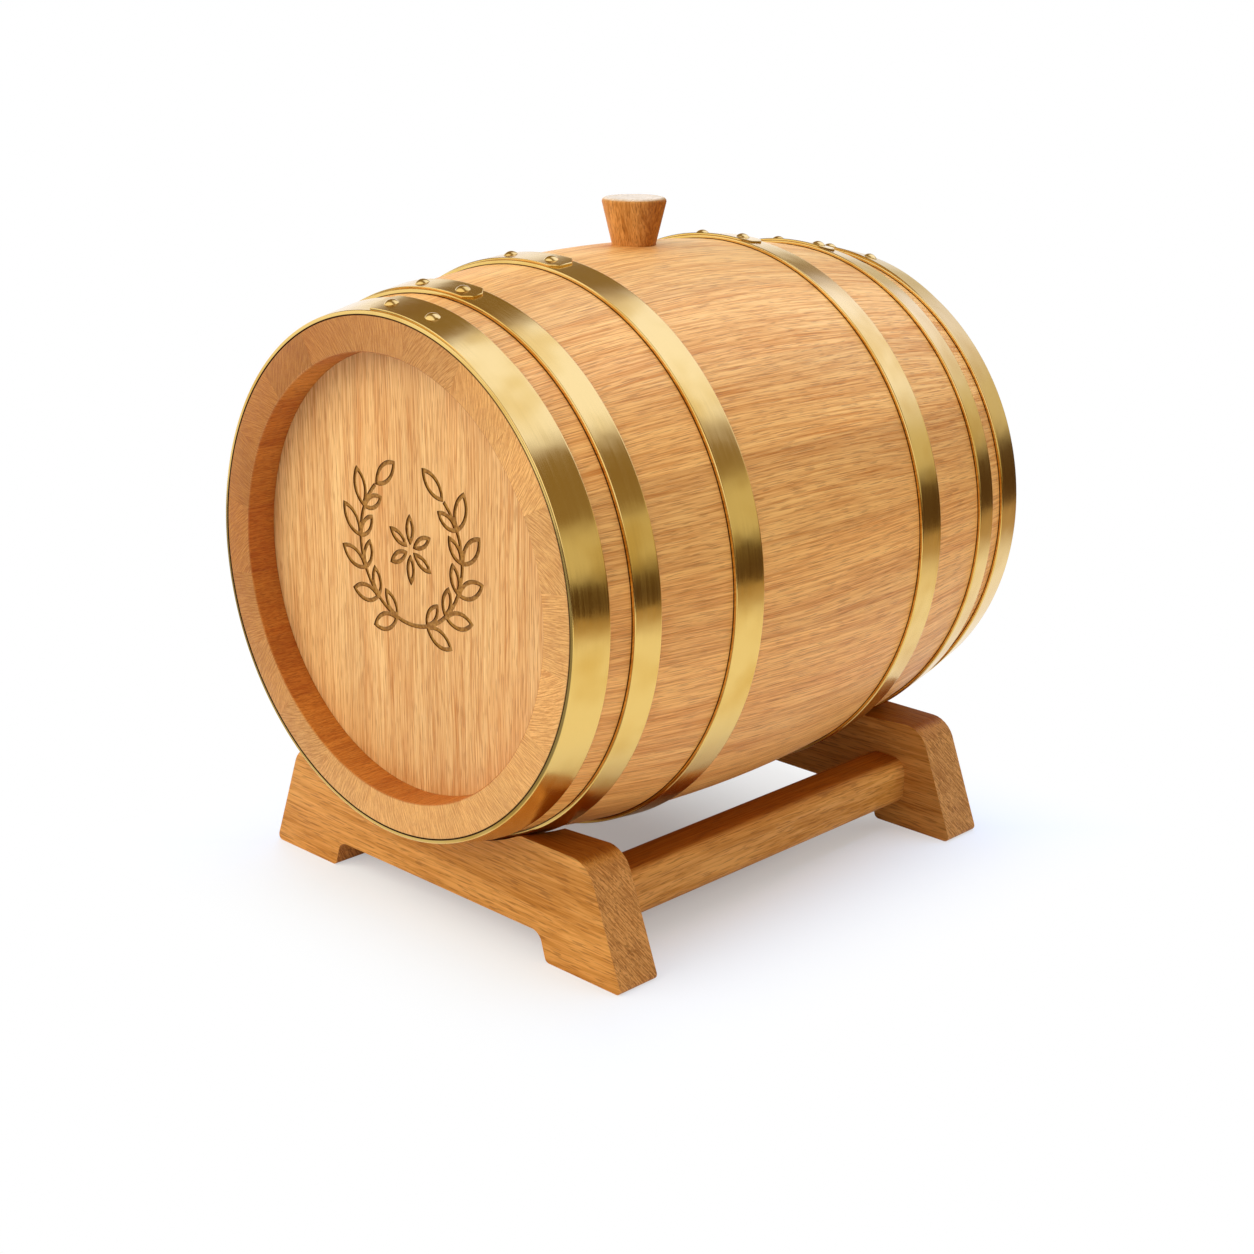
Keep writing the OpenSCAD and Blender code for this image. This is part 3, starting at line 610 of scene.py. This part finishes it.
def stave_outline():
    """A stave's section along the cask: its bowed outer side, the chime, the croze and its inner side."""
    side = [(HALF_LEN - CHIME_ARRIS) * (2 * i / PROFILE_STEPS - 1) for i in range(PROFILE_STEPS + 1)]
    outer = [(outer_r(y), y) for y in side]
    croze_low = HEAD_FACE_Y - TONGUE_T - CROZE_CLEAR
    croze_high = HEAD_FACE_Y + CROZE_CLEAR
    arris_r = outer_r(HALF_LEN - CHIME_ARRIS) - CHIME_ARRIS
    arris = arc((arris_r, HALF_LEN - CHIME_ARRIS), CHIME_ARRIS, 22.5, 90, 3)
    chime = arc((BORE_R + CHIME_ROUND, HALF_LEN - CHIME_ROUND), CHIME_ROUND, 90, 180, 4)
    groove = [(BORE_R, croze_high), (BORE_R + CROZE_DEPTH, croze_high),
              (BORE_R + CROZE_DEPTH, croze_low), (outer_r(croze_low) - STAVE_T, croze_low)]
    inner = [(outer_r(y) - STAVE_T, y) for y in reversed(side) if abs(y) < croze_low]
    far_end = arris + chime + groove
    near_end = [(r, -y) for r, y in reversed(far_end)]
    return outer + far_end + inner + near_end


def make_staves():
    seam = turn_of(STAVE_SEAM, BILGE_R)
    for number in range(1, STAVE_COUNT):
        start = (number - 0.5) * STAVE_TURN + seam / 2
        bm = swung(stave_outline(), start, STAVE_TURN - seam, steps=12)
        bmesh.ops.transform(bm, matrix=ON_AXIS, verts=bm.verts)
        node = f"stave_{number:02d}"
        piece(f"oak_{node}", bm, stave_oak, "cask", "cask_oak", node)
    # The stave with the bung hole gets the same worn chime as its neighbours.
    bm = merged_copy("bung_stave")
    bmesh.ops.transform(bm, matrix=ON_AXIS.inverted(), verts=bm.verts)
    worn = CHIME_ROUND / CAD_CHIME_ROUND
    for v in bm.verts:
        radius, depth = math.hypot(v.co.x, v.co.z), HALF_LEN - abs(v.co.y)
        if radius < BORE_R + CAD_CHIME_ROUND + TOLERANCE and depth < CAD_CHIME_ROUND + TOLERANCE:
            grown = (BORE_R + (radius - BORE_R) * worn) / radius
            v.co = (v.co.x * grown, math.copysign(HALF_LEN - depth * worn, v.co.y), v.co.z * grown)
    at_end = {v for v in bm.verts if HALF_LEN - abs(v.co.y) < TOLERANCE}
    on_rim = {v for v in at_end if math.hypot(v.co.x, v.co.z) > CHIME_R - TOLERANCE}
    rim = [e for e in bm.edges if on_rim.issuperset(e.verts)]
    bmesh.ops.bevel(bm, geom=rim, offset=CHIME_BEVEL, segments=3, profile=0.5,
                    affect="EDGES", material=-1)
    bmesh.ops.transform(bm, matrix=ON_AXIS, verts=bm.verts)
    piece("oak_stave_with_bung_hole", bm, stave_oak, "cask", "cask_oak", "bung_stave")


# ---- Heads: the flat boards are already right, so they only get their finish ----


def dress_heads():
    for place in ("left", "middle", "right"):
        dressed(f"front_board_{place}", front_oak)
        dressed(f"back_board_{place}", head_oak)
    dressed("front_dowels", head_oak)
    dressed("back_dowels", head_oak)
    dressed("tap_cork", cork)


# ---- Hoops and rivets ----


def make_lap(radius, slope, half_width):
    """The outer end of a strip, laid over the inner one: two corners clipped, the other side eased
    down into the ring. It lies about the top, with the rivets' middle at 0 along the cask."""
    eased_turn = turn_of(JOGGLE_START + JOGGLE_LEN, radius)
    half_turn = turn_of(LAP_LEN / 2, radius)
    start = Matrix.Rotation(-eased_turn, 3, "Y")
    bm = bmesh.new()
    line = [bm.verts.new(start @ Vector((0, y, radius + slope * y)))
            for y in (-half_width, half_width)]
    edge = bm.edges.new(line)
    bmesh.ops.spin(bm, geom=[*line, edge], cent=(0, 0, 0), axis=(0, 1, 0), dvec=(0, 0, 0),
                   angle=eased_turn + half_turn, steps=60, use_merge=False)
    finish = Matrix.Rotation(half_turn, 3, "Y")
    along = finish @ Vector((1, 0, 0))
    clip = finish @ Vector((0, 0, radius)) - along * LAP_CLIP
    for lean in (-1, 1):
        bmesh.ops.bisect_plane(bm, geom=[*bm.verts, *bm.edges, *bm.faces], dist=0.0001,
                               plane_co=clip + Vector((0, lean * half_width, 0)),
                               plane_no=(along + Vector((0, lean, 0))).normalized(), clear_outer=True)
    rise_turn = turn_of(JOGGLE_LEN, radius)
    for v in bm.verts:
        share = min(1, (math.atan2(v.co.x, v.co.z) + eased_turn) / rise_turn)
        sunk = (1 - share * share * (3 - 2 * share)) * (LAP_T + JOGGLE_SINK)
        v.co -= Vector((v.co.x, 0, v.co.z)).normalized() * sunk
    bmesh.ops.remove_doubles(bm, verts=bm.verts, dist=LAP_ROUND)
    bmesh.ops.recalc_face_normals(bm, faces=bm.faces)
    bmesh.ops.solidify(bm, geom=list(bm.faces), thickness=LAP_T + LAP_SUNK)
    bmesh.ops.recalc_face_normals(bm, faces=bm.faces)
    sharp = [e for e in bm.edges if e.calc_face_angle(0) > CREASE]
    bmesh.ops.bevel(bm, geom=sharp, offset=LAP_ROUND, segments=1, profile=0.5,
                    affect="EDGES", material=-1)
    return bm


def make_hoop(end, side, kind):
    """A brass strip round the cask, riveted where its outer end lies over the inner one."""
    inset, width, lap_turn, clipped_side = HOOPS[kind]
    far = HALF_LEN - inset
    near = far - width
    near_r, far_r = outer_r(near) + HOOP_CLEAR, outer_r(far) + HOOP_CLEAR
    slope = (far_r - near_r) / width
    sunk = HOOP_T - HOOP_ROUND
    near_edge = arc((near_r + slope * HOOP_ROUND + sunk, near + HOOP_ROUND), HOOP_ROUND, -90, 0, 5)
    far_edge = arc((far_r - slope * HOOP_ROUND + sunk, far - HOOP_ROUND), HOOP_ROUND, 0, 90, 5)
    # A narrow strip beside each round keeps the wide one flat to the eye.
    aside = HOOP_ROUND + HOOP_FLAT
    flat = [(near_r + slope * aside + HOOP_T, near + aside),
            (far_r - slope * aside + HOOP_T, far - aside)]
    strip = ring([(near_r, near), *near_edge, *flat, *far_edge, (far_r, far)], steps=180)
    lap = make_lap((near_r + far_r) / 2 + HOOP_T + LAP_T, slope, width / 2 - LAP_DRAW_IN)
    bmesh.ops.scale(lap, vec=(clipped_side, 1, 1), verts=lap.verts)
    about_axis = Matrix.Rotation(math.radians(lap_turn), 3, "Y")
    bmesh.ops.rotate(lap, cent=(0, 0, 0), matrix=about_axis, verts=lap.verts)
    bmesh.ops.translate(lap, vec=(0, (near + far) / 2, 0), verts=lap.verts)
    bm = joined(strip, lap)
    bmesh.ops.scale(bm, vec=(1, side, 1), verts=bm.verts)
    bmesh.ops.transform(bm, matrix=ON_AXIS, verts=bm.verts)
    piece(f"brass_hoop_{end}_{kind}", bm, brass, "cask", "hoop_brass", f"hoop_{end}_{kind}")


def rivet_profile():
    """A round head and its shank."""
    ball_r = (RIVET_R**2 + RIVET_H**2) / (2 * RIVET_H)
    reach = math.degrees(math.asin(RIVET_R / ball_r))
    dome = arc((0, RIVET_H - ball_r), ball_r, 90 - reach, 90, 10)
    shank_end, head_low = -HOOP_T - LAP_T, -0.05
    return [(0, shank_end), (RIVET_SHANK_R, shank_end), (RIVET_SHANK_R, head_low), (RIVET_R, head_low),
            *dome]


def make_rivets(end, side, kind):
    inset, width, lap_turn, _ = HOOPS[kind]
    far_r, near_r = outer_r(HALF_LEN - inset), outer_r(HALF_LEN - inset - width)
    lean = math.atan((near_r - far_r) / width)
    strip_r = (far_r + near_r) / 2 + HOOP_CLEAR
    heads = []
    for hand in (-1, 1):
        rivet = turned(rivet_profile(), steps=32)
        seat = Matrix.Translation((0, HALF_LEN - inset - width / 2, strip_r))
        seat = seat @ Matrix.Rotation(-lean, 4, "X")
        turn = math.radians(lap_turn) + hand * turn_of(RIVET_PITCH / 2, strip_r)
        place = Matrix.Rotation(turn, 4, "Y") @ seat @ Matrix.Translation((0, 0, HOOP_T + LAP_T))
        bmesh.ops.transform(rivet, matrix=place, verts=rivet.verts)
        heads.append(rivet)
    bm = joined(*heads)
    bmesh.ops.scale(bm, vec=(1, side, 1), verts=bm.verts)
    bmesh.ops.transform(bm, matrix=ON_AXIS, verts=bm.verts)
    piece(f"brass_rivets_{end}_{kind}", bm, brass, "cask", "hoop_brass", f"rivets_{end}_{kind}")


def make_hoops():
    for end, side in (("front", -1), ("back", 1)):
        for kind in HOOPS:
            make_hoop(end, side, kind)
            make_rivets(end, side, kind)


# ---- Bung and tap ----


def make_bung():
    low_r = BUNG_NECK_R - BUNG_TAPER * BUNG_PLUG
    flat_r = BUNG_TOP_R - BUNG_ROUND
    shoulder = arc((flat_r, BUNG_RISE - BUNG_ROUND), BUNG_ROUND, 0, 90, 6)
    # A narrow ring inside the round keeps the top flat to the eye.
    profile = [(0, -BUNG_PLUG), (low_r - BUNG_EDGE, -BUNG_PLUG), (low_r, BUNG_EDGE - BUNG_PLUG),
               (BUNG_NECK_R, 0), *shoulder, (flat_r - BUNG_FLAT, BUNG_RISE), (0, BUNG_RISE)]
    bm = turned(profile, steps=96)
    bmesh.ops.translate(bm, vec=(0, 0, AXIS_Z + BILGE_R), verts=bm.verts)
    piece("oak_bung", bm, bung_oak, "bung", "turned_oak", "bung")


def make_tap():
    piece("oak_tap_barrel", merged_copy("tap_body"), tap_oak, "cask", "turned_oak", "tap_body")
    piece("oak_tap_key", merged_copy("tap_key"), key_oak, "tap_key", "turned_oak", "tap_key")
    handle = merged_copy("tap_handle")
    piece("oak_tap_cross_handle", handle, handle_oak, "tap_key", "turned_oak", "tap_handle")


# ---- Stand ----


def drawn_round(bm, corners):
    """A face whose corners (x, z, rounding) are rounded where they say so."""
    verts = [bm.verts.new((x, 0, z)) for x, z, _ in corners]
    face = bm.faces.new(verts)
    count = len(verts)
    jobs = []
    for i, (v, corner) in enumerate(zip(verts, corners)):
        if corner[2]:
            before = (verts[i - 1].co - v.co).normalized()
            after = (verts[(i + 1) % count].co - v.co).normalized()
            jobs.append((v, corner[2] / math.tan(before.angle(after) / 2)))
    for v, reach in jobs:
        bmesh.ops.bevel(bm, geom=[v], offset=reach, offset_type="OFFSET", segments=6, profile=0.5,
                        affect="VERTICES", material=-1)
    return face


def slab(corners, low_y, high_y):
    """A rounded outline spread from one place along the stand to another."""
    bm = bmesh.new()
    drawn_round(bm, corners)
    bmesh.ops.translate(bm, vec=(0, low_y, 0), verts=bm.verts)
    made = bmesh.ops.extrude_face_region(bm, geom=list(bm.faces))["geom"]
    verts = [g for g in made if isinstance(g, bmesh.types.BMVert)]
    bmesh.ops.translate(bm, vec=(0, high_y - low_y, 0), verts=verts)
    bmesh.ops.recalc_face_normals(bm, faces=bm.faces)
    return bm


def with_rounds(bm, face, centres, radius, depth):
    """Gives a flat face round tenons, or round holes where the depth is below zero."""
    normal = face.normal.copy()
    turn = normal.to_track_quat("Z", "Y").to_matrix().to_4x4()
    edges = list(face.edges)
    bmesh.ops.delete(bm, geom=[face], context="FACES_ONLY")
    circles = []
    for centre in centres:
        verts = bmesh.ops.create_circle(bm, cap_ends=False, radius=radius, segments=40,
                                        matrix=Matrix.Translation(centre) @ turn)["verts"]
        circles.append(list({e for v in verts for e in v.link_edges}))
    bmesh.ops.triangle_fill(bm, use_beauty=True, use_dissolve=False, normal=normal,
                            edges=edges + [e for circle in circles for e in circle])
    for circle in circles:
        made = bmesh.ops.extrude_edge_only(bm, edges=circle)["geom"]
        verts = [g for g in made if isinstance(g, bmesh.types.BMVert)]
        bmesh.ops.translate(bm, vec=normal * depth, verts=verts)
        bmesh.ops.contextual_create(bm, geom=[g for g in made if isinstance(g, bmesh.types.BMEdge)])


def make_cradle(end, side, stretcher_x, stretcher_z):
    low, high = box_mm(f"cradle_{end}")
    foot, shoulder_z = high.x, high.z
    arch = CRADLE_INNER - CRADLE_ARCH_LEAN
    half_saddle = math.degrees(math.acos((AXIS_Z - shoulder_z) / SADDLE_R))
    hollow = arc((0, 0), SADDLE_R, -90 + half_saddle, -90 - half_saddle, 48)
    saddle = [(x, AXIS_Z + z, 0) for x, z in hollow]
    corners = [(-foot, 0, FOOT_ROUND), (-CRADLE_INNER, 0, FOOT_ROUND), (-arch, CRADLE_ARCH_H, ARCH_ROUND),
               (arch, CRADLE_ARCH_H, ARCH_ROUND), (CRADLE_INNER, 0, FOOT_ROUND), (foot, 0, FOOT_ROUND),
               (SHOULDER_X, shoulder_z, SHOULDER_ROUND), *saddle,
               (-SHOULDER_X, shoulder_z, SHOULDER_ROUND)]
    half_t = (high.y - low.y) / 2
    bm = slab(corners, -half_t, half_t)
    # The saddle is a cone that follows the quarter hoop.
    for v in bm.verts:
        from_axis = math.hypot(v.co.x, v.co.z - AXIS_Z)
        if abs(from_axis - SADDLE_R) < TOLERANCE and v.co.z < shoulder_z + TOLERANCE:
            grown = (SADDLE_R + SADDLE_SLOPE * v.co.y * side) / from_axis
            v.co.x *= grown
            v.co.z = min(shoulder_z, AXIS_Z + (v.co.z - AXIS_Z) * grown)
    bmesh.ops.translate(bm, vec=(0, (low.y + high.y) / 2, 0), verts=bm.verts)
    inner_y = low.y if side > 0 else high.y
    bm.normal_update()
    inner = max((f for f in bm.faces if f.normal.y * side < -0.99), key=lambda f: f.calc_area())
    centres = [(hand * stretcher_x, inner_y, stretcher_z) for hand in (-1, 1)]
    with_rounds(bm, inner, centres, TENON_R + TENON_CLEAR, -TENON_LEN - TENON_CLEAR)
    piece(f"oak_cradle_{end}", bm, cradle_oak, "stand", "stand_oak", f"cradle_{end}", bevel=EDGE_ROUND)


def make_stand():
    low, high = box_mm("stretcher_right")
    middle = (low + high) / 2
    half_w = (high.x - low.x) / 2
    bar_end = high.y - TENON_LEN
    for end, side in (("front", -1), ("back", 1)):
        make_cradle(end, side, middle.x, middle.z)
    for name, hand in (("left", -1), ("right", 1)):
        corners = [(hand * middle.x + x * half_w, middle.z + z * half_w, STRETCHER_ROUND)
                   for x, z in ((-1, -1), (1, -1), (1, 1), (-1, 1))]
        bm = slab(corners, -bar_end, bar_end)
        for way in (-1, 1):
            ends = [f for f in bm.faces if f.normal.y * way > 0.99]
            cap = max(ends, key=lambda f: f.calc_area())
            with_rounds(bm, cap, [(hand * middle.x, way * bar_end, middle.z)], TENON_R, TENON_LEN)
        piece(f"oak_stretcher_{name}", bm, stretcher_oak, "stand", "stand_oak", f"stretcher_{name}")


make_staves()
dress_heads()
make_hoops()
make_bung()
make_tap()
make_stand()


# ---- Studio: floor, light and camera ----

# Sizes of the studio are in metres. Shadows fade from inside the stand's footprint to outside it, and
# are lifted a little in general, and more under the cask towards the back.
FLOOR_R = 0.85
FOOTPRINT = (0.0978, 0.1093, 0)
SHADOW_FADE = (-0.05, 0.07)
SHADOW_LIFT = (0.25, 0.75)
UNDER_CASK = (0.03, 0.07)
UNDER_BACK_HALF = (0, 0.1)
FLOOR_PAINT = "#f1eee4"

# What brass mirrors of the floor: how strong it is in front, how brown far off, and where each starts
# and ends, from the middle of the floor.
DIM_STRENGTH = 0.3
DIM_FRONT = (-0.28, -0.12)
PALE_RIGHT = (0.05, 0.2)
FAR_BROWN = "#bca27c"
FAR_OFF = (0.4, 0.62)
BEHIND_FRONT = (-0.2, -0.1)

# What lies round the table, as light that brass mirrors.
LEFT_WALL = (1.1, 1.12, 1.2, 1)
OTHER_WALLS = (0.7, 0.66, 0.53, 1)
BROWN_CEILING = (0.29, 0.21, 0.11, 1)
DARK_GAP = (0.09, 0.05, 0.02, 1)
COOL_SOFTBOX = (1.2, 1.35, 2.2, 1)
BRIGHT_FRONT = (1.2, 1.2, 1.4, 1)
# Where these begin and end, as the share of a direction that goes right, back or up.
LEFT_SIDE = (-0.62, -0.42)
CEILING_UP = (0.3, 0.42)
GAP_UP = (0, 0.1)
SOFTBOX_RIGHT = (0.62, 0.46)
SOFTBOX_LEFT = (-0.4, -0.2)
SOFTBOX_UP = (0.2, 0.42)
SOFTBOX_BACK = (0.05, 0.3)
FRONT_DEEP = (-0.1, -0.35)
FRONT_UP = (0.1, 0.3)
# Soft light for the wood: from the walls, from above, and how far up one turns into the other.
WALL_LIGHT = (0.5, 0.5, 0.5, 1)
TOP_LIGHT = (0.26, 0.26, 0.26, 1)
LIGHT_UP = (0, 0.8)
WHITE = colour("#ffffff")

# A blue lamp overhead takes yellow out of the wood's upper sides, as a cool sky does.
OVERHEAD_BLUE = (0.26, 0.47, 1)

# The viewpoint, matched to the photograph: degrees, millimetres, and the lens for a 36 mm wide film.
CAMERA_AZIMUTH = 44.27
CAMERA_ELEVATION = 17.249
CAMERA_ROLL = 0.385
CAMERA_PLACE = (569.8, -586.9, 347.2)
CAMERA_LENS = 59.05


def make_floor():
    """A round white table. Its shadows melt away round the stand, and its rim into the background.
    Brass mirrors it as pale beside the cask, as brown farther off at the sides and the back, and in
    front as dim on the left and pale on the right."""
    material, tree, shader = new_material("white_studio_floor")
    tree.nodes.remove(shader)
    place = add(tree, "TexCoord").outputs["Object"]
    aside = add(tree, "VectorMath", [place], operation="ABSOLUTE")
    beyond = add(tree, "VectorMath", [aside, FOOTPRINT], operation="SUBTRACT")
    beyond = add(tree, "SeparateXYZ", [beyond]).outputs
    outside = add(tree, "Math", [beyond["X"], beyond["Y"]], operation="MAXIMUM")
    # A painted glow lifts the floor's shadow more under the cask towards the back.
    deep = add(tree, "SeparateXYZ", [place]).outputs["Y"]
    sideways = add(tree, "SeparateXYZ", [aside]).outputs["X"]
    under = add(tree, "MapRange", [sideways, *UNDER_CASK, 1, 0], **EASED)
    behind = add(tree, "MapRange", [deep, *UNDER_BACK_HALF], **EASED)
    under = add(tree, "Math", [under, behind], operation="MULTIPLY")
    ray = add(tree, "LightPath").outputs
    lift = add(tree, "MapRange", [under, 0, 1, *SHADOW_LIFT])
    lift = add(tree, "Math", [lift, ray["Is Camera Ray"]], operation="MULTIPLY")
    melted = add(tree, "MapRange", [outside, *SHADOW_FADE, lift, 1], **EASED)
    seen = add(tree, "Math", [ray["Is Camera Ray"], ray["Is Glossy Ray"]], operation="MAXIMUM")
    share = add(tree, "Math", [melted, seen], operation="MULTIPLY")
    mirrored = add(tree, "MapRange", [deep, *DIM_FRONT, DIM_STRENGTH, 1.0], **EASED)
    rightwards = add(tree, "SeparateXYZ", [place]).outputs["X"]
    right = add(tree, "MapRange", [rightwards, *PALE_RIGHT], **EASED)
    mirrored = add(tree, "Math", [mirrored, right], operation="MAXIMUM")
    # A Mix of plain numbers takes them at its sockets 2 and 3.
    strength = add(tree, "Mix", {SHARE: ray["Is Glossy Ray"], 2: 1.0, 3: mirrored})
    reach = add(tree, "VectorMath", [place], operation="LENGTH").outputs["Value"]
    far = add(tree, "MapRange", [reach, *FAR_OFF], **EASED)
    far = add(tree, "Math", [far, ray["Is Glossy Ray"]], operation="MULTIPLY")
    behind = add(tree, "MapRange", [deep, *BEHIND_FRONT], **EASED)
    far = add(tree, "Math", [far, behind], operation="MULTIPLY")
    sockets = {SHARE: far, FIRST: WHITE, SECOND: colour(FAR_BROWN)}
    shine = add(tree, "Mix", sockets, **TINTS).outputs[MIXED]
    paint = add(tree, "BsdfDiffuse", {"Color": colour(FLOOR_PAINT)})
    glow = add(tree, "Emission", {"Color": shine, "Strength": strength})
    mixed = add(tree, "MixShader", [share, paint, glow])
    tree.links.new(mixed.outputs[0], tree.nodes["Material Output"].inputs["Surface"])
    bm = bmesh.new()
    bmesh.ops.create_circle(bm, cap_ends=True, radius=FLOOR_R, segments=96)
    mesh = bpy.data.meshes.new("floor")
    bm.to_mesh(mesh)
    bm.free()
    mesh.materials.append(material)
    floor = bpy.data.objects.new("floor", mesh)
    bpy.context.scene.collection.objects.link(floor)


def make_world():
    """White to the camera, soft light for the wood, most of it from the walls. Brass mirrors a studio:
    pale walls, palest on the left, a dark gap above the table's edge everywhere else, a brown ceiling
    with a wide cool softbox in it towards the back, and a bright front."""
    world = bpy.data.worlds.new("studio")
    bpy.context.scene.world = world
    world.use_nodes = True
    tree = world.node_tree
    way = add(tree, "TexCoord").outputs["Generated"]
    part = add(tree, "SeparateXYZ", [way]).outputs
    right, deep, up = part["X"], part["Y"], part["Z"]
    left = add(tree, "MapRange", [right, *LEFT_SIDE, 1, 0], **EASED)
    sockets = {SHARE: left, FIRST: OTHER_WALLS, SECOND: LEFT_WALL}
    wall = add(tree, "Mix", sockets, **TINTS).outputs[MIXED]
    ceiling = add(tree, "MapRange", [up, *CEILING_UP], **EASED)
    sockets = {SHARE: ceiling, FIRST: wall, SECOND: BROWN_CEILING}
    wall = add(tree, "Mix", sockets, **TINTS).outputs[MIXED]
    above_gap = add(tree, "MapRange", [up, *GAP_UP], **EASED)
    above_gap = add(tree, "Math", [above_gap, left], operation="MAXIMUM")
    sockets = {SHARE: above_gap, FIRST: DARK_GAP, SECOND: wall}
    room = add(tree, "Mix", sockets, **TINTS).outputs[MIXED]
    box = add(tree, "MapRange", [right, *SOFTBOX_LEFT], **EASED)
    for where, span in ((right, SOFTBOX_RIGHT), (up, SOFTBOX_UP), (deep, SOFTBOX_BACK)):
        inside = add(tree, "MapRange", [where, *span], **EASED)
        box = add(tree, "Math", [box, inside], operation="MULTIPLY")
    room = add(tree, "Mix", {SHARE: box, FIRST: room, SECOND: COOL_SOFTBOX}, **TINTS).outputs[MIXED]
    front = add(tree, "MapRange", [deep, *FRONT_DEEP], **EASED)
    raised = add(tree, "MapRange", [up, *FRONT_UP], **EASED)
    front = add(tree, "Math", [front, raised], operation="MULTIPLY")
    room = add(tree, "Mix", {SHARE: front, FIRST: room, SECOND: BRIGHT_FRONT}, **TINTS).outputs[MIXED]
    height = add(tree, "MapRange", [up, *LIGHT_UP], **EASED)
    sockets = {SHARE: height, FIRST: WALL_LIGHT, SECOND: TOP_LIGHT}
    daylight = add(tree, "Mix", sockets, **TINTS).outputs[MIXED]
    ray = add(tree, "LightPath").outputs
    mirrored = add(tree, "Math", [ray["Is Glossy Ray"], ray["Is Transmission Ray"]], operation="MAXIMUM")
    light = add(tree, "Mix", {SHARE: mirrored, FIRST: daylight, SECOND: room}, **TINTS).outputs[MIXED]
    sockets = {SHARE: ray["Is Camera Ray"], FIRST: light, SECOND: WHITE}
    backdrop = add(tree, "Mix", sockets, **TINTS).outputs[MIXED]
    tree.links.new(backdrop, tree.nodes["Background"].inputs["Color"])


def make_lamp(name, place, aim, width, height, power, tint=(1, 1, 1)):
    """A softbox that lights the wood and the floor. Brass mirrors the room instead."""
    light = bpy.data.lights.new(name, "AREA")
    light.color = tint
    light.shape = "RECTANGLE"
    light.size = width
    light.size_y = height
    light.energy = power
    lamp = bpy.data.objects.new(name, light)
    lamp.location = place
    lamp.rotation_euler = (Vector(aim) - Vector(place)).to_track_quat("-Z", "Y").to_euler()
    lamp.visible_camera = False
    lamp.visible_glossy = False
    bpy.context.scene.collection.objects.link(lamp)


def make_camera():
    """The photograph's viewpoint: 44 degrees round to the right and 17 degrees up."""
    azimuth, elevation = math.radians(CAMERA_AZIMUTH), math.radians(CAMERA_ELEVATION)
    level = math.cos(elevation)
    back = Vector((math.sin(azimuth) * level, -math.cos(azimuth) * level, math.sin(elevation)))
    aimed = (-back).to_track_quat("-Z", "Y").to_matrix()
    rolled = aimed @ Matrix.Rotation(math.radians(CAMERA_ROLL), 3, "Z")
    data = bpy.data.cameras.new("camera")
    data.lens = CAMERA_LENS
    camera = bpy.data.objects.new("camera", data)
    camera.location = Vector(CAMERA_PLACE) * MM
    camera.rotation_euler = rolled.to_euler()
    bpy.context.scene.collection.objects.link(camera)
    bpy.context.scene.camera = camera


CASK_MIDDLE = (0, 0, AXIS_Z * MM)
make_floor()
make_world()
make_lamp("key_softbox", (-0.5, -1.05, 0.95), CASK_MIDDLE, 1.4, 1.4, 17.5)
make_lamp("overhead_softbox", (-0.1, 0.4, 1.3), CASK_MIDDLE, 1.2, 1.0, 34, OVERHEAD_BLUE)
make_lamp("right_softbox", (1.25, 0.25, 0.75), CASK_MIDDLE, 1.2, 0.7, 5)
make_camera()
bpy.context.scene.view_settings.view_transform = "Standard"
